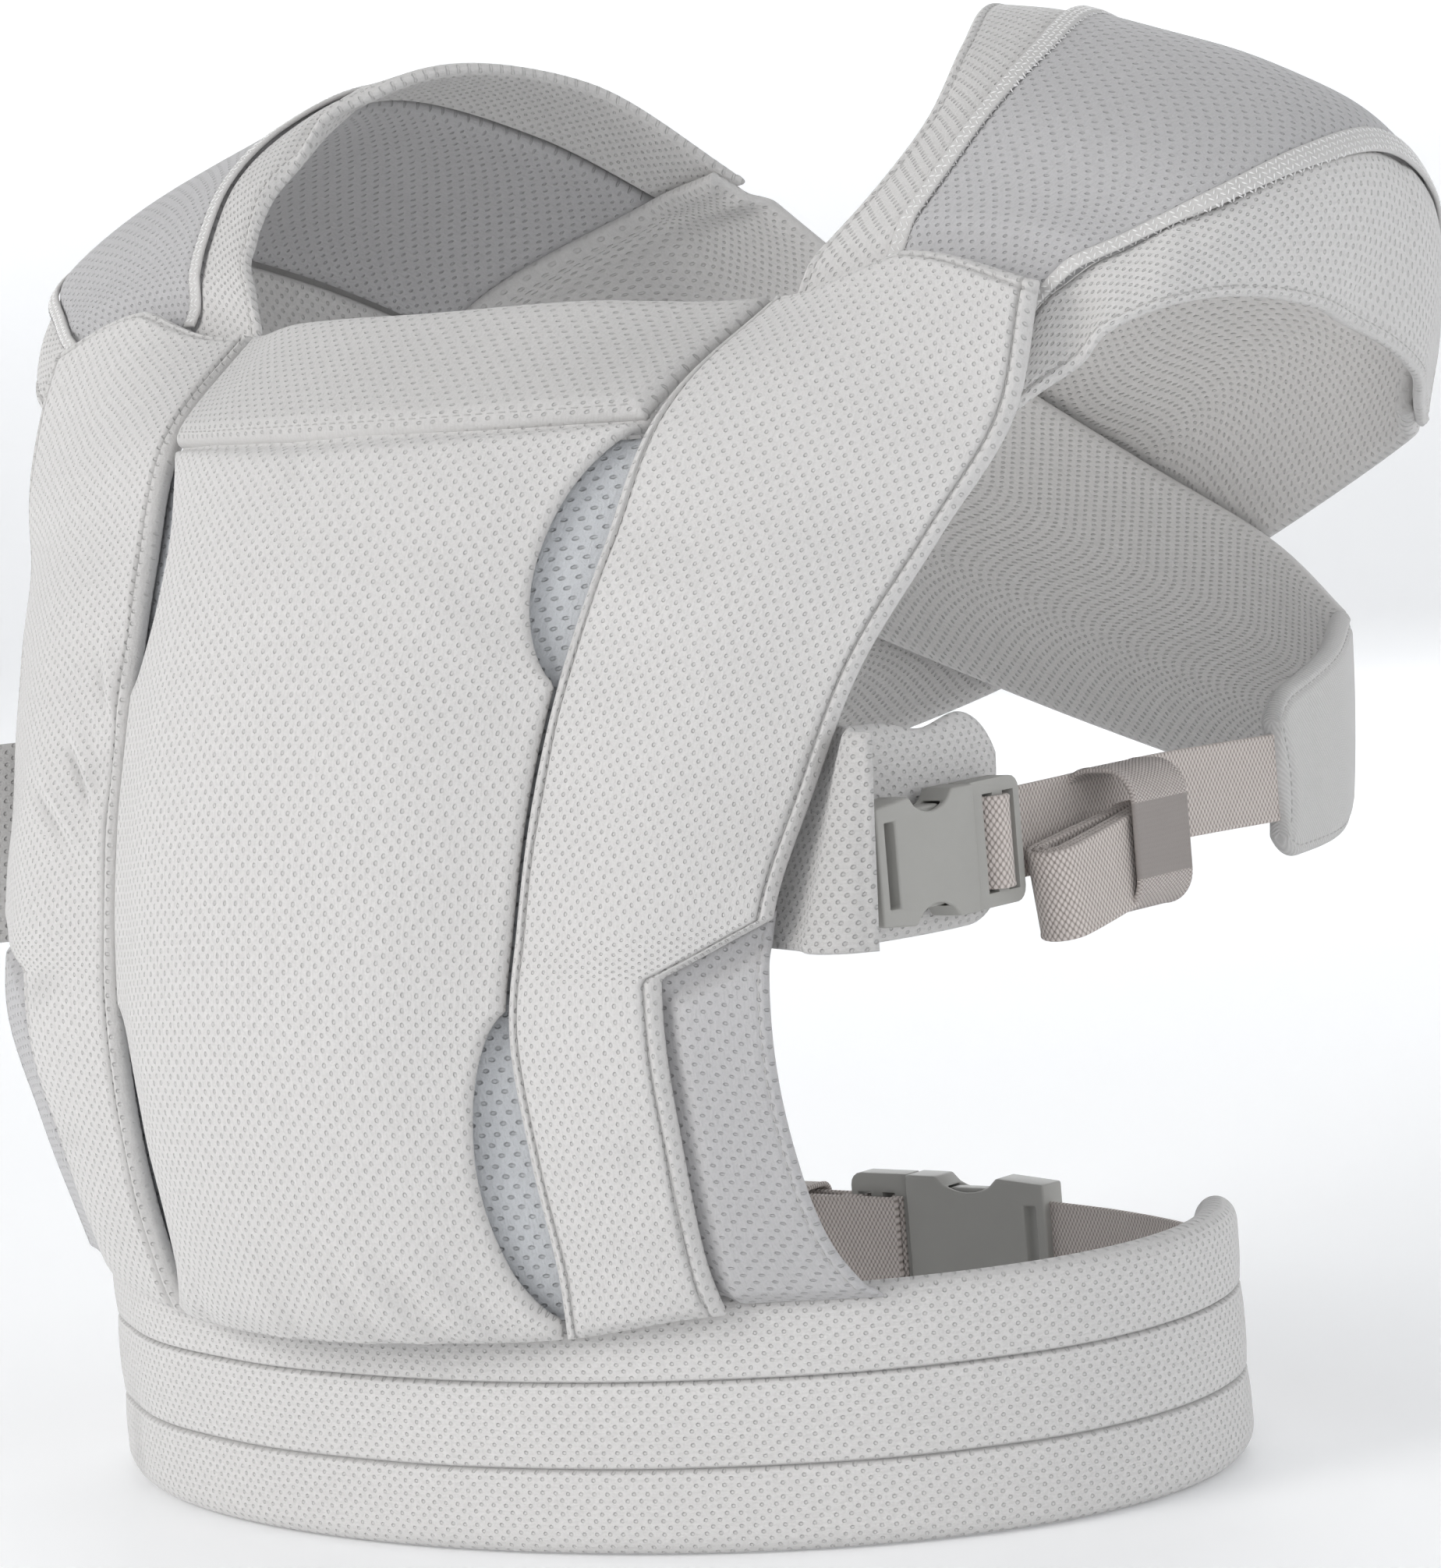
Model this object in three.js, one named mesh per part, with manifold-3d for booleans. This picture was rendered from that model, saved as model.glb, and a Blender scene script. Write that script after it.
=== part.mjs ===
// Soft baby carrier, worn on the front, with straps that cross on the back and a padded waistband.
// Millimetres, +Z up. The wearer faces -Y, and the wearer's left is +X.
// The origin is on the floor under the middle of the outer box, with the waistband resting on the floor.

import * as THREE from "three";
import { mergeVertices } from "three/addons/utils/BufferGeometryUtils.js";
import Module from "manifold-3d";

// ---------- driving dimensions ----------
const GAP = 0.6; // clearance between neighbouring pieces
const STRAP_PAD = 7; // padded strap thickness
const WING = 4; // thickness of the thin shoulder wings
const PANEL = 5; // front panel thickness
const LINER = 3; // inner panel thickness
const LINER_INSET = 7; // inner panel's distance behind the front shell
const HEAD_REST = 8; // head support's thickness

const WAIST_A = 177; // half width of the waistband's middle line
const WAIST_B = 122; // half depth of the waistband's middle line
const WAIST_HEIGHT = 71;
const WAIST_PAD = 12;
const WING_HINGE_X = 156; // where the waistband's wings start to swing
const WAIST_END_Y = 62; // where the waistband ends beside the back

const SIDE_WEB = { width: 25, thickness: 1.5 };
const WAIST_WEB = { width: 38, thickness: 1.6 };
const BUCKLE_DEPTH = 10;
const SIDE_BUCKLE = { x: 161.5, y: -54, z: 184 }; // joint line between socket and plug
const SIDE_WEB_X = 156.5; // the webbing lies on the buckle's inner side
const STRAP_END_Y = 97; // where the strap ends meet their webbing
const WAIST_BUCKLE = { y: 124, z: 34 };
const WAIST_WEB_Y = 118;

// ---------- materials ----------
const cloth = (color) => new THREE.MeshStandardMaterial({ color, roughness: 0.95, metalness: 0 });
const MESH_LIGHT = cloth(0xd0cfcd);
const MESH_DARK = cloth(0xb9b9b9);
const LINER_MESH = cloth(0xbfc2c6);
const WEBBING = cloth(0xb7aeaa);
const PLASTIC = new THREE.MeshStandardMaterial({ color: 0xa3a29c, roughness: 0.45, metalness: 0 });

// ---------- the carrier's surfaces, wearer's left half ----------
// Each rail runs from the bottom up, one point at each level; the right half mirrors it.
const CENTRE = [
  [0, -142, 61], [0, -152, 80], [0, -160, 112], [0, -162, 146], [0, -159, 172],
  [0, -152, 204], [0, -142, 236], [0, -127, 270], [0, -106, 302], [0, -67, 334],
];
const QUARTER = [
  [36, -137, 61], [37, -146, 80], [38, -154, 112], [38, -156, 146], [39, -153, 172],
  [40, -146, 204], [42, -135, 236], [45, -118, 270], [47, -98, 302], [52, -57, 334],
];
const STRAP_INNER = [
  [69, -124, 61], [72, -129, 80], [72, -136, 112], [71, -139, 146], [73, -135, 172],
  [75, -127, 204], [78, -115, 236], [83, -98, 270], [88, -79, 302], [97, -31, 331],
];
const STRAP_MIDDLE = [
  [104, -110, 66], [106, -117, 82], [109, -125, 112], [111, -131, 146], [111, -128, 172],
  [114, -117, 204], [119, -103, 236], [129, -82, 271], [138, -58, 305], [141, -28, 341],
];
const STRAP_OUTER = [
  [145, -83, 66], [139, -95, 84], [138, -107, 114], [140, -114, 147], [140, -109, 174],
  [146, -96, 204], [154, -82, 235], [167, -60, 267], [181, -43, 296], [182, -28, 331],
];
// Over the shoulder, from the front hem to the shoulder blade.
const SHOULDER_NECK = [
  [101, -27, 336], [115, -11, 356], [122, 8, 375], [116, 36, 396], [102, 68, 407], [84, 116, 399],
  [62, 160, 366],
];
const SHOULDER_SEAM_IN = [
  [131, -20, 343], [136, -7, 358], [141, 12, 376], [141, 38, 391], [133, 72, 401], [116, 124, 386],
  [96, 166, 360],
];
const SHOULDER_SEAM_OUT = [
  [180, -22, 329], [198, -7, 338], [215, 9, 347], [224, 38, 356], [223, 74, 359], [210, 118, 346],
  [182, 162, 320],
];
const SHOULDER_EDGE = [
  [184, -29, 305], [198, -22, 316], [211, -4, 322], [219, 24, 321], [219, 62, 312], [208, 108, 296],
  [177, 163, 278],
];
// Across the back, from the whole end of one shoulder, narrowing to a strap at the other side.
const BACK_UPPER = [
  [62, 166, 356], [30, 182, 334], [-10, 191, 303], [-62, 192, 272], [-114, 182, 246], [-148, 158, 226],
];
const BACK_SEAM_IN = [
  [96, 168, 352], [68, 184, 318], [15, 192, 281], [-48, 192, 247], [-106, 182, 223], [-146, 158, 206],
];
const BACK_SEAM_OUT = [
  [181, 165, 313], [102, 186, 294], [36, 192, 254], [-35, 192, 221], [-99, 182, 199], [-145, 158, 187],
];
const BACK_LOWER = [
  [176, 168, 272], [112, 184, 250], [52, 190, 224], [-22, 192, 196], [-92, 182, 176], [-143, 158, 167],
];
const END_UPPER = [[-148, 158, 226], [-158, 132, 217], [-161, STRAP_END_Y, 207]];
const END_LOWER = [[-143, 158, 167], [-157, 130, 162], [-161, STRAP_END_Y, 160]];
const CROSS_LIFT = 8; // how far each strap stands off where the two cross
// The underarm pad and the sleeve over the buckle's socket.
const PAD_LINE = [[138, -87], [145, -72], [150, -50], [150, -24]];
const PAD_Z = [161, 219];
const SLEEVE_UPPER = [[153.5, -87, 221], [159, -95, 221], [164, -98, 221], [168, -98, 221]];
const SLEEVE_LOWER = [[144.5, -106, 163], [152, -111, 163], [162, -110, 163], [169.5, -104, 163]];

// ---------- helpers ----------
const vectors = (points) => points.map((p) => new THREE.Vector3(...p));
const mirrored = (points) => points.map(([x, ...rest]) => [-x, ...rest]);
const fixed = (value) => () => value;

// A smooth surface through rails: u runs along them, v across them.
function loft(rails) {
  const curves = rails.map((points) => new THREE.CatmullRomCurve3(vectors(points)));
  return (u, v) => {
    const across = new THREE.CatmullRomCurve3(curves.map((curve) => curve.getPoint(u)));
    return across.getPoint(v);
  };
}

// A box bent onto a surface. low and high give v's limits at each u; lift moves it off the surface.
function patch(surface, { u, low, high, thickness, lift = 0, along = 8, across = 4 }) {
  const geometry = new THREE.BoxGeometry(1, 1, 1, across, along, 1);
  const place = geometry.attributes.position;
  const step = 0.004;
  for (let i = 0; i < place.count; i += 1) {
    const s = place.getX(i) + 0.5;
    const at = u[0] + (place.getY(i) + 0.5) * (u[1] - u[0]);
    const v = low(at) + s * (high(at) - low(at));
    const u0 = Math.max(at - step, 0);
    const v0 = Math.max(v - step, 0);
    const alongway = surface(Math.min(at + step, 1), v).sub(surface(u0, v));
    const sideway = surface(at, Math.min(v + step, 1)).sub(surface(at, v0));
    const normal = sideway.cross(alongway).normalize();
    const point = surface(at, v).addScaledVector(normal, place.getZ(i) * thickness + lift);
    place.setXYZ(i, point.x, point.y, point.z);
  }
  geometry.computeVertexNormals();
  return geometry;
}

// An upright strip that follows a line in plan between two heights.
function strip(line, [bottom, top], thickness, along = 8, across = 1) {
  const rails = [top, bottom].map((z) => line.map(([x, y]) => [x, y, z]));
  const edges = { u: [0, 1], low: fixed(0), high: fixed(1), thickness, along, across };
  return patch(loft(rails), edges);
}

function mesh(name, geometry, material) {
  const made = new THREE.Mesh(geometry, material);
  made.name = name;
  return made;
}

// Adds a piece and its mirror image, named left and right.
function pair(group, name, geometry, material) {
  const left = mesh(`${name}_left`, geometry, material);
  const right = mesh(`${name}_right`, geometry, material);
  right.scale.x = -1;
  group.add(left, right);
}

// Booleans, only to join and cut.
const wasm = await Module();
wasm.setup();
function solid(geometry) {
  const bare = geometry.clone();
  bare.deleteAttribute("normal");
  bare.deleteAttribute("uv");
  const welded = mergeVertices(bare, 1e-4);
  const vertProperties = new Float32Array(welded.attributes.position.array);
  const triVerts = new Uint32Array(welded.index.array);
  return new wasm.Manifold(new wasm.Mesh({ numProp: 3, vertProperties, triVerts }));
}
function geometryOf(manifold) {
  const made = manifold.getMesh();
  const geometry = new THREE.BufferGeometry();
  geometry.setAttribute("position", new THREE.BufferAttribute(made.vertProperties, 3));
  geometry.setIndex(new THREE.BufferAttribute(made.triVerts, 1));
  geometry.computeVertexNormals();
  return geometry;
}
function block([x0, y0, z0], [x1, y1, z1]) {
  const box = new THREE.BoxGeometry(x1 - x0, y1 - y0, z1 - z0);
  return box.translate((x0 + x1) / 2, (y0 + y1) / 2, (z0 + z1) / 2);
}
function plate(outline, depth, holes = []) {
  const shape = new THREE.Shape(outline.map(([x, y]) => new THREE.Vector2(x, y)));
  for (const hole of holes) {
    shape.holes.push(new THREE.Path(hole.map(([x, y]) => new THREE.Vector2(x, y))));
  }
  const geometry = new THREE.ExtrudeGeometry(shape, { depth, bevelEnabled: false });
  return geometry.translate(0, 0, -depth / 2);
}

// ---------- front shell ----------
const shellRails = [
  ...[STRAP_OUTER, STRAP_MIDDLE, STRAP_INNER, QUARTER].map(mirrored),
  CENTRE, QUARTER, STRAP_INNER, STRAP_MIDDLE, STRAP_OUTER,
];
const shell = loft(shellRails);
const level = (k) => k / (CENTRE.length - 1);
const INNER_V = 6 / 8; // the strap's inner edge
const EDGE = 0.004; // clearance beside a seam
const LEG_SEAM_V = 0.895; // seam between strap and leg panel
const SLIT_DEPTH = 0.047;

// The front panel's side curves in at the two slits on each side, and meets the strap between them.
function slit(u, from, to) {
  const t = (u - level(from)) / (level(to) - level(from));
  return t > 0 && t < 1 ? SLIT_DEPTH * Math.sin(Math.PI * t) ** 0.7 : 0;
}
const panelSide = (u) => INNER_V - EDGE - slit(u, 0.3, 3.2) - slit(u, 6, 8);
function strapOuterSide(u) {
  const t = THREE.MathUtils.clamp((u - level(3.5)) / (level(3.95) - level(3.5)), 0, 1);
  return LEG_SEAM_V + t * (1 - LEG_SEAM_V);
}

const carrier = new THREE.Group();
carrier.add(mesh("front_panel", patch(shell, {
  u: [0, level(8) - 0.004], low: (u) => 1 - panelSide(u), high: panelSide,
  thickness: PANEL, along: 20, across: 8,
}), MESH_LIGHT));
carrier.add(mesh("inner_panel", patch(shell, {
  u: [level(0.9), level(8) - 0.004], low: fixed(0.14), high: fixed(0.86),
  thickness: LINER, lift: -LINER_INSET, along: 8, across: 8,
}), LINER_MESH));
carrier.add(mesh("head_support", patch(shell, {
  u: [level(8) + 0.004, 1], low: fixed(1 - INNER_V + 0.008), high: fixed(INNER_V - 0.008),
  thickness: HEAD_REST, along: 2, across: 8,
}), MESH_DARK));
pair(carrier, "strap_front", patch(shell, {
  u: [0, 1], low: fixed(INNER_V + EDGE), high: strapOuterSide,
  thickness: STRAP_PAD, along: 18, across: 3,
}), MESH_LIGHT);

// The leg panel fills the corner under the strap's step, with a slanted top edge.
const legTop = (v) => level(3.42 + 0.42 * (v - LEG_SEAM_V) / (1 - LEG_SEAM_V));
const legSurface = (u, v) => {
  const across = LEG_SEAM_V + EDGE + v * (1 - LEG_SEAM_V - EDGE);
  return shell(level(0.15) + u * (legTop(across) - level(0.15)), across);
};
pair(carrier, "leg_panel", patch(legSurface, {
  u: [0, 1], low: fixed(0), high: fixed(1), thickness: WING, along: 6, across: 2,
}), MESH_DARK);

// ---------- shoulders and back straps ----------
const shoulder = loft([SHOULDER_NECK, SHOULDER_SEAM_IN, SHOULDER_SEAM_OUT, SHOULDER_EDGE]);
const seamGap = 0.012;
for (const [name, from, to, thickness, across, material] of [
  ["inner_wing", 0, 1 / 3 - seamGap, WING, 2, MESH_LIGHT],
  ["shoulder_pad", 1 / 3 + seamGap, 2 / 3 - seamGap, STRAP_PAD, 3, MESH_DARK],
  ["outer_wing", 2 / 3 + seamGap, 1, WING, 2, MESH_LIGHT],
]) {
  pair(carrier, name, patch(shoulder, {
    u: [0.03, 0.975], low: fixed(from), high: fixed(to), thickness, along: 10, across,
  }), material);
}

function backStrap(side) {
  const lift = side * CROSS_LIFT;
  const middle = BACK_UPPER.length - 1;
  const stand = (k) => lift * Math.sin((Math.PI * k) / middle) ** 0.4;
  const offset = (points) => points.map(([x, y, z], k) => [x, y + stand(k), z]);
  return loft([BACK_UPPER, BACK_SEAM_IN, BACK_SEAM_OUT, BACK_LOWER].map(offset));
}
const strapEnd = loft([END_UPPER, END_LOWER]);
for (const [side, name, lift] of [[1, "left", 1], [-1, "right", -1]]) {
  const back = patch(backStrap(lift), {
    u: [0.035, 0.985], low: fixed(0), high: fixed(1), thickness: STRAP_PAD, along: 12, across: 4,
  });
  const end = patch(strapEnd, {
    u: [0.04, 1], low: fixed(0), high: fixed(1), thickness: STRAP_PAD + 1, along: 4, across: 2,
  });
  for (const [part, geometry, material] of [
    [`back_strap_${name}`, back, MESH_LIGHT], [`strap_end_${name}`, end, MESH_LIGHT],
  ]) {
    const placed = mesh(part, geometry, material);
    placed.scale.x = side;
    carrier.add(placed);
  }
}

// ---------- sides: pad, sleeve, webbing, buckle, keeper, rolled tail ----------
pair(carrier, "underarm_pad", strip(PAD_LINE, PAD_Z, STRAP_PAD, 5, 1), MESH_LIGHT);
pair(carrier, "buckle_sleeve", patch(loft([SLEEVE_UPPER, SLEEVE_LOWER]), {
  u: [0, 1], low: fixed(0), high: fixed(1), thickness: LINER, along: 5, across: 1,
}), MESH_LIGHT);

// A side-release buckle. +X is the way the plug leaves the socket, Y is its width, Z its depth.
function buckle(webWidth, length) {
  const half = webWidth * 0.68;
  const slotHalf = webWidth / 2 + 0.8;
  const wall = 3.2;
  const waist = wall + 1.6; // how deep the side windows cut in
  const windowEnd = -length * 0.22;
  const windowStart = -length * 0.66;
  const notch = Array.from({ length: 9 }, (_, i) => [
    windowStart + ((windowEnd - windowStart) * i) / 8, half - waist * Math.sin((Math.PI * i) / 8) ** 0.6,
  ]);
  const top = [[0, half], ...notch.slice().reverse(), [-length, half - 1.5]];
  const outline = [...top.map(([x, y]) => [x, -y]).reverse(), ...top];
  const cavity = block([-length * 0.72, -(half - wall), -3.1], [1, half - wall, 3.1]);
  const tailSlot = block([-length + 3.5, 2 - slotHalf, -6], [-length + 8, slotHalf - 2, 6]);
  const socket = solid(plate(outline, BUCKLE_DEPTH)).subtract(solid(cavity)).subtract(solid(tailSlot));

  const frameLength = 22;
  const corner = Array.from({ length: 5 }, (_, i) => {
    const turn = (Math.PI / 2) * (i / 4);
    return [frameLength - 4 + 4 * Math.sin(turn), half - 4 + 4 * Math.cos(turn)];
  });
  const frameOutline = [[0.5, half], ...corner];
  frameOutline.push(...frameOutline.map(([x, y]) => [x, -y]).reverse());
  const slots = [[5.5, 10], [14.5, 19.5]].map(([x0, x1]) => block([x0, -slotHalf, -5], [x1, slotHalf, 5]));
  const tongue = block([-length * 0.6, -3, -2.2], [2, 3, 2.2]);
  const frame = slots.reduce((rest, opening) => rest.subtract(solid(opening)), solid(plate(frameOutline, 7)))
    .add(solid(tongue));

  const tip = -length * 0.66;
  const headOut = half - wall - 0.4;
  const prongOutline = [[0, 7], [0, 10.5], [-length * 0.24, headOut - 1.6], [-length * 0.3, headOut],
    [tip + 5, headOut], [tip, headOut - 4], [tip, headOut - 6], [-length * 0.3, headOut - 5]];
  const prong = plate(prongOutline, 5.2);
  const prongTwin = plate(prongOutline.map(([x, y]) => [x, -y]).reverse(), 5.2);

  // The webbing's bite over the plug's middle bar.
  const webHalf = webWidth / 2;
  const legs = [[6.2, 7.8], [16, 17.6]].map(([x0, x1]) => block([x0, -webHalf, -2.5], [x1, webHalf, 4.5]));
  const bridge = block([6.2, -webHalf, 3.9], [17.6, webHalf, 5.4]);
  const loop = legs.reduce((whole, leg) => whole.add(solid(leg)), solid(bridge));
  return {
    socket: geometryOf(socket), plug: geometryOf(frame), prongs: [prong, prongTwin], loop: geometryOf(loop),
  };
}

function ring([x0, y0], [x1, y1], wall, depth) {
  const outer = [[x0, y0], [x1, y0], [x1, y1], [x0, y1]];
  const inner = [[x0 + wall, y0 + wall], [x1 - wall, y0 + wall], [x1 - wall, y1 - wall],
    [x0 + wall, y1 - wall]];
  return plate(outer, depth, [inner]);
}

// Turns the buckle's own axes to the carrier's: its travel to +Y, its width to Z, its depth to X.
const sideTurn = new THREE.Matrix4().makeBasis(
  new THREE.Vector3(0, 1, 0), new THREE.Vector3(0, 0, 1), new THREE.Vector3(1, 0, 0),
).setPosition(SIDE_BUCKLE.x, SIDE_BUCKLE.y, SIDE_BUCKLE.z);
const sideBuckle = buckle(SIDE_WEB.width, 43);
pair(carrier, "side_socket", sideBuckle.socket.applyMatrix4(sideTurn), PLASTIC);
pair(carrier, "side_plug", sideBuckle.plug.applyMatrix4(sideTurn), PLASTIC);
pair(carrier, "side_prong_upper", sideBuckle.prongs[0].applyMatrix4(sideTurn), PLASTIC);
pair(carrier, "side_prong_lower", sideBuckle.prongs[1].applyMatrix4(sideTurn), PLASTIC);

const webBottom = SIDE_BUCKLE.z - SIDE_WEB.width / 2;
pair(carrier, "side_webbing", block(
  [SIDE_WEB_X - SIDE_WEB.thickness / 2, SIDE_BUCKLE.y + 3, webBottom],
  [SIDE_WEB_X + SIDE_WEB.thickness / 2, STRAP_END_Y - GAP, webBottom + SIDE_WEB.width],
), WEBBING);
pair(carrier, "web_loop", sideBuckle.loop.applyMatrix4(sideTurn), WEBBING);
const upright = new THREE.Matrix4().makeBasis(
  new THREE.Vector3(1, 0, 0), new THREE.Vector3(0, 0, 1), new THREE.Vector3(0, -1, 0),
);
const rolled = ring([-7, -12], [7, 12], 4.2, SIDE_WEB.width);
pair(carrier, "rolled_tail", rolled.translate(170.5, -16, 166), WEBBING);
const keeper = ring([-12.5, -20.5], [12.5, 20.5], 1.6, 26).applyMatrix4(upright);
pair(carrier, "side_keeper", keeper.translate(166, 15, 178), WEBBING);

// ---------- waistband ----------
const waistAngle = (x, a) => Math.acos(x / a);
function waistArc(from, to, offset = 0, count = 9) {
  return Array.from({ length: count }, (_, i) => {
    const angle = from + ((to - from) * i) / (count - 1);
    return [(WAIST_A + offset) * Math.cos(angle), (WAIST_B + offset) * Math.sin(angle)];
  });
}
const hinge = -waistAngle(WING_HINGE_X, WAIST_A);
const wingEnd = Math.asin(WAIST_END_Y / WAIST_B);
const seam = 0.006;
carrier.add(mesh("waistband_front", strip(
  waistArc(-Math.PI - hinge + seam, hinge - seam, 0, 15), [0, WAIST_HEIGHT], WAIST_PAD, 20, 1,
), MESH_LIGHT));
pair(carrier, "waistband_wing", strip(
  waistArc(hinge + seam, wingEnd), [0, WAIST_HEIGHT], WAIST_PAD, 10, 1,
), MESH_LIGHT);

// ---------- waist webbing and its buckle, at the back ----------
const waistZ = [WAIST_BUCKLE.z - WAIST_WEB.width / 2, WAIST_BUCKLE.z + WAIST_WEB.width / 2];
const [endX, endY] = waistArc(wingEnd, wingEnd, 0, 2)[0];
const backLine = [[84, 114], [118, 99], [142, 80], [endX, endY + 2]];
const rightLine = [[-117, 106], [-133, 91], [-146, 76], [-endX, endY + 1.5]];
const socketLength = 52;
carrier.add(mesh("waist_webbing_left", strip(
  [...backLine.slice().reverse(), [socketLength + GAP, WAIST_BUCKLE.y - 1]],
  waistZ, WAIST_WEB.thickness, 12, 1,
), WEBBING));
carrier.add(mesh("waist_webbing_right", strip(
  [[-3, WAIST_WEB_Y], [-50, WAIST_WEB_Y], [-98, WAIST_WEB_Y], ...rightLine],
  waistZ, WAIST_WEB.thickness, 16, 1,
), WEBBING));
const anchorLine = waistArc(Math.PI - wingEnd + 0.02, Math.PI + 0.25, WAIST_PAD / 2 + 1.5, 5);
carrier.add(mesh("waist_anchor_right", strip(anchorLine, waistZ, WAIST_WEB.thickness, 6, 1), WEBBING));

const waistTurn = new THREE.Matrix4().makeBasis(
  new THREE.Vector3(-1, 0, 0), new THREE.Vector3(0, 0, 1), new THREE.Vector3(0, 1, 0),
).setPosition(0, WAIST_BUCKLE.y, WAIST_BUCKLE.z);
const waistBuckle = buckle(WAIST_WEB.width, socketLength);
carrier.add(mesh("waist_socket", waistBuckle.socket.applyMatrix4(waistTurn), PLASTIC));
carrier.add(mesh("waist_plug", waistBuckle.plug.applyMatrix4(waistTurn), PLASTIC));
carrier.add(mesh("waist_prong_upper", waistBuckle.prongs[0].applyMatrix4(waistTurn), PLASTIC));
carrier.add(mesh("waist_prong_lower", waistBuckle.prongs[1].applyMatrix4(waistTurn), PLASTIC));
carrier.add(mesh("waist_web_loop", waistBuckle.loop.applyMatrix4(waistTurn), WEBBING));
carrier.add(mesh("waist_tail", block(
  [-88, WAIST_BUCKLE.y + 0.4, waistZ[0]], [-26, WAIST_BUCKLE.y + 2, waistZ[1]],
), WEBBING));
// The keeper's ring: its short side along Y, its long side along Z, its length along X.
const waistRing = new THREE.Matrix4().makeBasis(
  new THREE.Vector3(0, 1, 0), new THREE.Vector3(0, 0, 1), new THREE.Vector3(1, 0, 0),
).setPosition(-42, WAIST_BUCKLE.y - 1.7, WAIST_BUCKLE.z);
const waistKeeper = ring([-7.2, -21.5], [7.2, 21.5], 1.5, 12).applyMatrix4(waistRing);
carrier.add(mesh("waist_keeper", waistKeeper, WEBBING));

// ---------- origin ----------
const box = new THREE.Box3().setFromObject(carrier);
carrier.position.set(0, -(box.min.y + box.max.y) / 2, -box.min.z);

export default carrier;
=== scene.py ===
import math

import bmesh
import bpy
import numpy as np
from mathutils import Matrix, Vector


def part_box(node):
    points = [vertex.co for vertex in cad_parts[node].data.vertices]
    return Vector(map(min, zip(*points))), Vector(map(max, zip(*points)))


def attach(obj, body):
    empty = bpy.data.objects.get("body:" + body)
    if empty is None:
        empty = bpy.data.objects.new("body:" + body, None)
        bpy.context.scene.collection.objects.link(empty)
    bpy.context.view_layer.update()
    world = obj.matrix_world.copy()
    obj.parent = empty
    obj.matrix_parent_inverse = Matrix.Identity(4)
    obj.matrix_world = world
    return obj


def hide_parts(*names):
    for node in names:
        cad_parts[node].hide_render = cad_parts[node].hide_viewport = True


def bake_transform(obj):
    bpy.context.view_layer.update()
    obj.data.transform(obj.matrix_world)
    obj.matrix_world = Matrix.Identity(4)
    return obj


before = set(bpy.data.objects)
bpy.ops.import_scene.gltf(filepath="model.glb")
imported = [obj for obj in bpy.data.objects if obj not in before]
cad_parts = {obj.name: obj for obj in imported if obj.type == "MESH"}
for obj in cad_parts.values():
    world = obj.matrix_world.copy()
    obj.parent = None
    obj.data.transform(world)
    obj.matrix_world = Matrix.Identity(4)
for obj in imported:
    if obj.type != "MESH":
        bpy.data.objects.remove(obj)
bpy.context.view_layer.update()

MM = 0.001
SIDES = (("left", 1), ("right", -1))

# ---------- the carrier's own dimensions, in millimetres, as in the CAD part ----------
WAIST_A = 177  # half width of the waistband's middle line
WAIST_B = 122  # half depth
WAIST_HEIGHT = 71
WAIST_PAD = 12
WING_HINGE_X = 156
WAIST_END_Y = 62
STRAP_END_Y = 97
CROSS_LIFT = 8  # how far each back strap stands off where the two cross
WAIST_WEB_Y = 118
SHIFT_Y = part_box("waistband_front")[0].y / MM + WAIST_B + WAIST_PAD / 2  # the frame's origin is further back

CENTRE = [
    [0, -142, 61], [0, -152, 80], [0, -160, 112], [0, -162, 146], [0, -159, 172],
    [0, -152, 204], [0, -142, 236], [0, -127, 270], [0, -106, 302], [0, -67, 334],
]
QUARTER = [
    [36, -137, 61], [37, -146, 80], [38, -154, 112], [38, -156, 146], [39, -153, 172],
    [40, -146, 204], [42, -135, 236], [45, -118, 270], [47, -98, 302], [52, -57, 334],
]
STRAP_INNER = [
    [69, -124, 61], [72, -129, 80], [72, -136, 112], [71, -139, 146], [73, -135, 172],
    [75, -127, 204], [78, -115, 236], [83, -98, 270], [88, -79, 302], [97, -31, 331],
]
STRAP_MIDDLE = [
    [104, -110, 66], [106, -117, 82], [109, -125, 112], [111, -131, 146], [111, -128, 172],
    [114, -117, 204], [119, -103, 236], [129, -82, 271], [138, -58, 305], [141, -28, 341],
]
STRAP_OUTER = [
    [145, -83, 66], [139, -95, 84], [138, -107, 114], [140, -114, 147], [140, -109, 174],
    [146, -96, 204], [154, -82, 235], [167, -60, 267], [181, -43, 296], [182, -28, 331],
]
SHOULDER_NECK = [
    [101, -27, 336], [115, -11, 356], [122, 8, 375], [116, 36, 396], [102, 68, 407], [84, 116, 399],
    [62, 160, 366],
]
SHOULDER_SEAM_IN = [
    [131, -20, 343], [136, -7, 358], [141, 12, 376], [141, 38, 391], [133, 72, 401], [116, 124, 386],
    [96, 166, 360],
]
SHOULDER_SEAM_OUT = [
    [180, -22, 329], [198, -7, 338], [215, 9, 347], [224, 38, 356], [223, 74, 359], [210, 118, 346],
    [182, 162, 320],
]
SHOULDER_EDGE = [
    [184, -29, 305], [198, -22, 316], [211, -4, 322], [219, 24, 321], [219, 62, 312], [208, 108, 296],
    [177, 163, 278],
]
BACK_UPPER = [
    [62, 166, 356], [30, 182, 334], [-10, 191, 303], [-62, 192, 272], [-114, 182, 246], [-148, 158, 226],
]
BACK_SEAM_IN = [
    [96, 168, 352], [68, 184, 318], [15, 192, 281], [-48, 192, 247], [-106, 182, 223], [-146, 158, 206],
]
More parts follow.
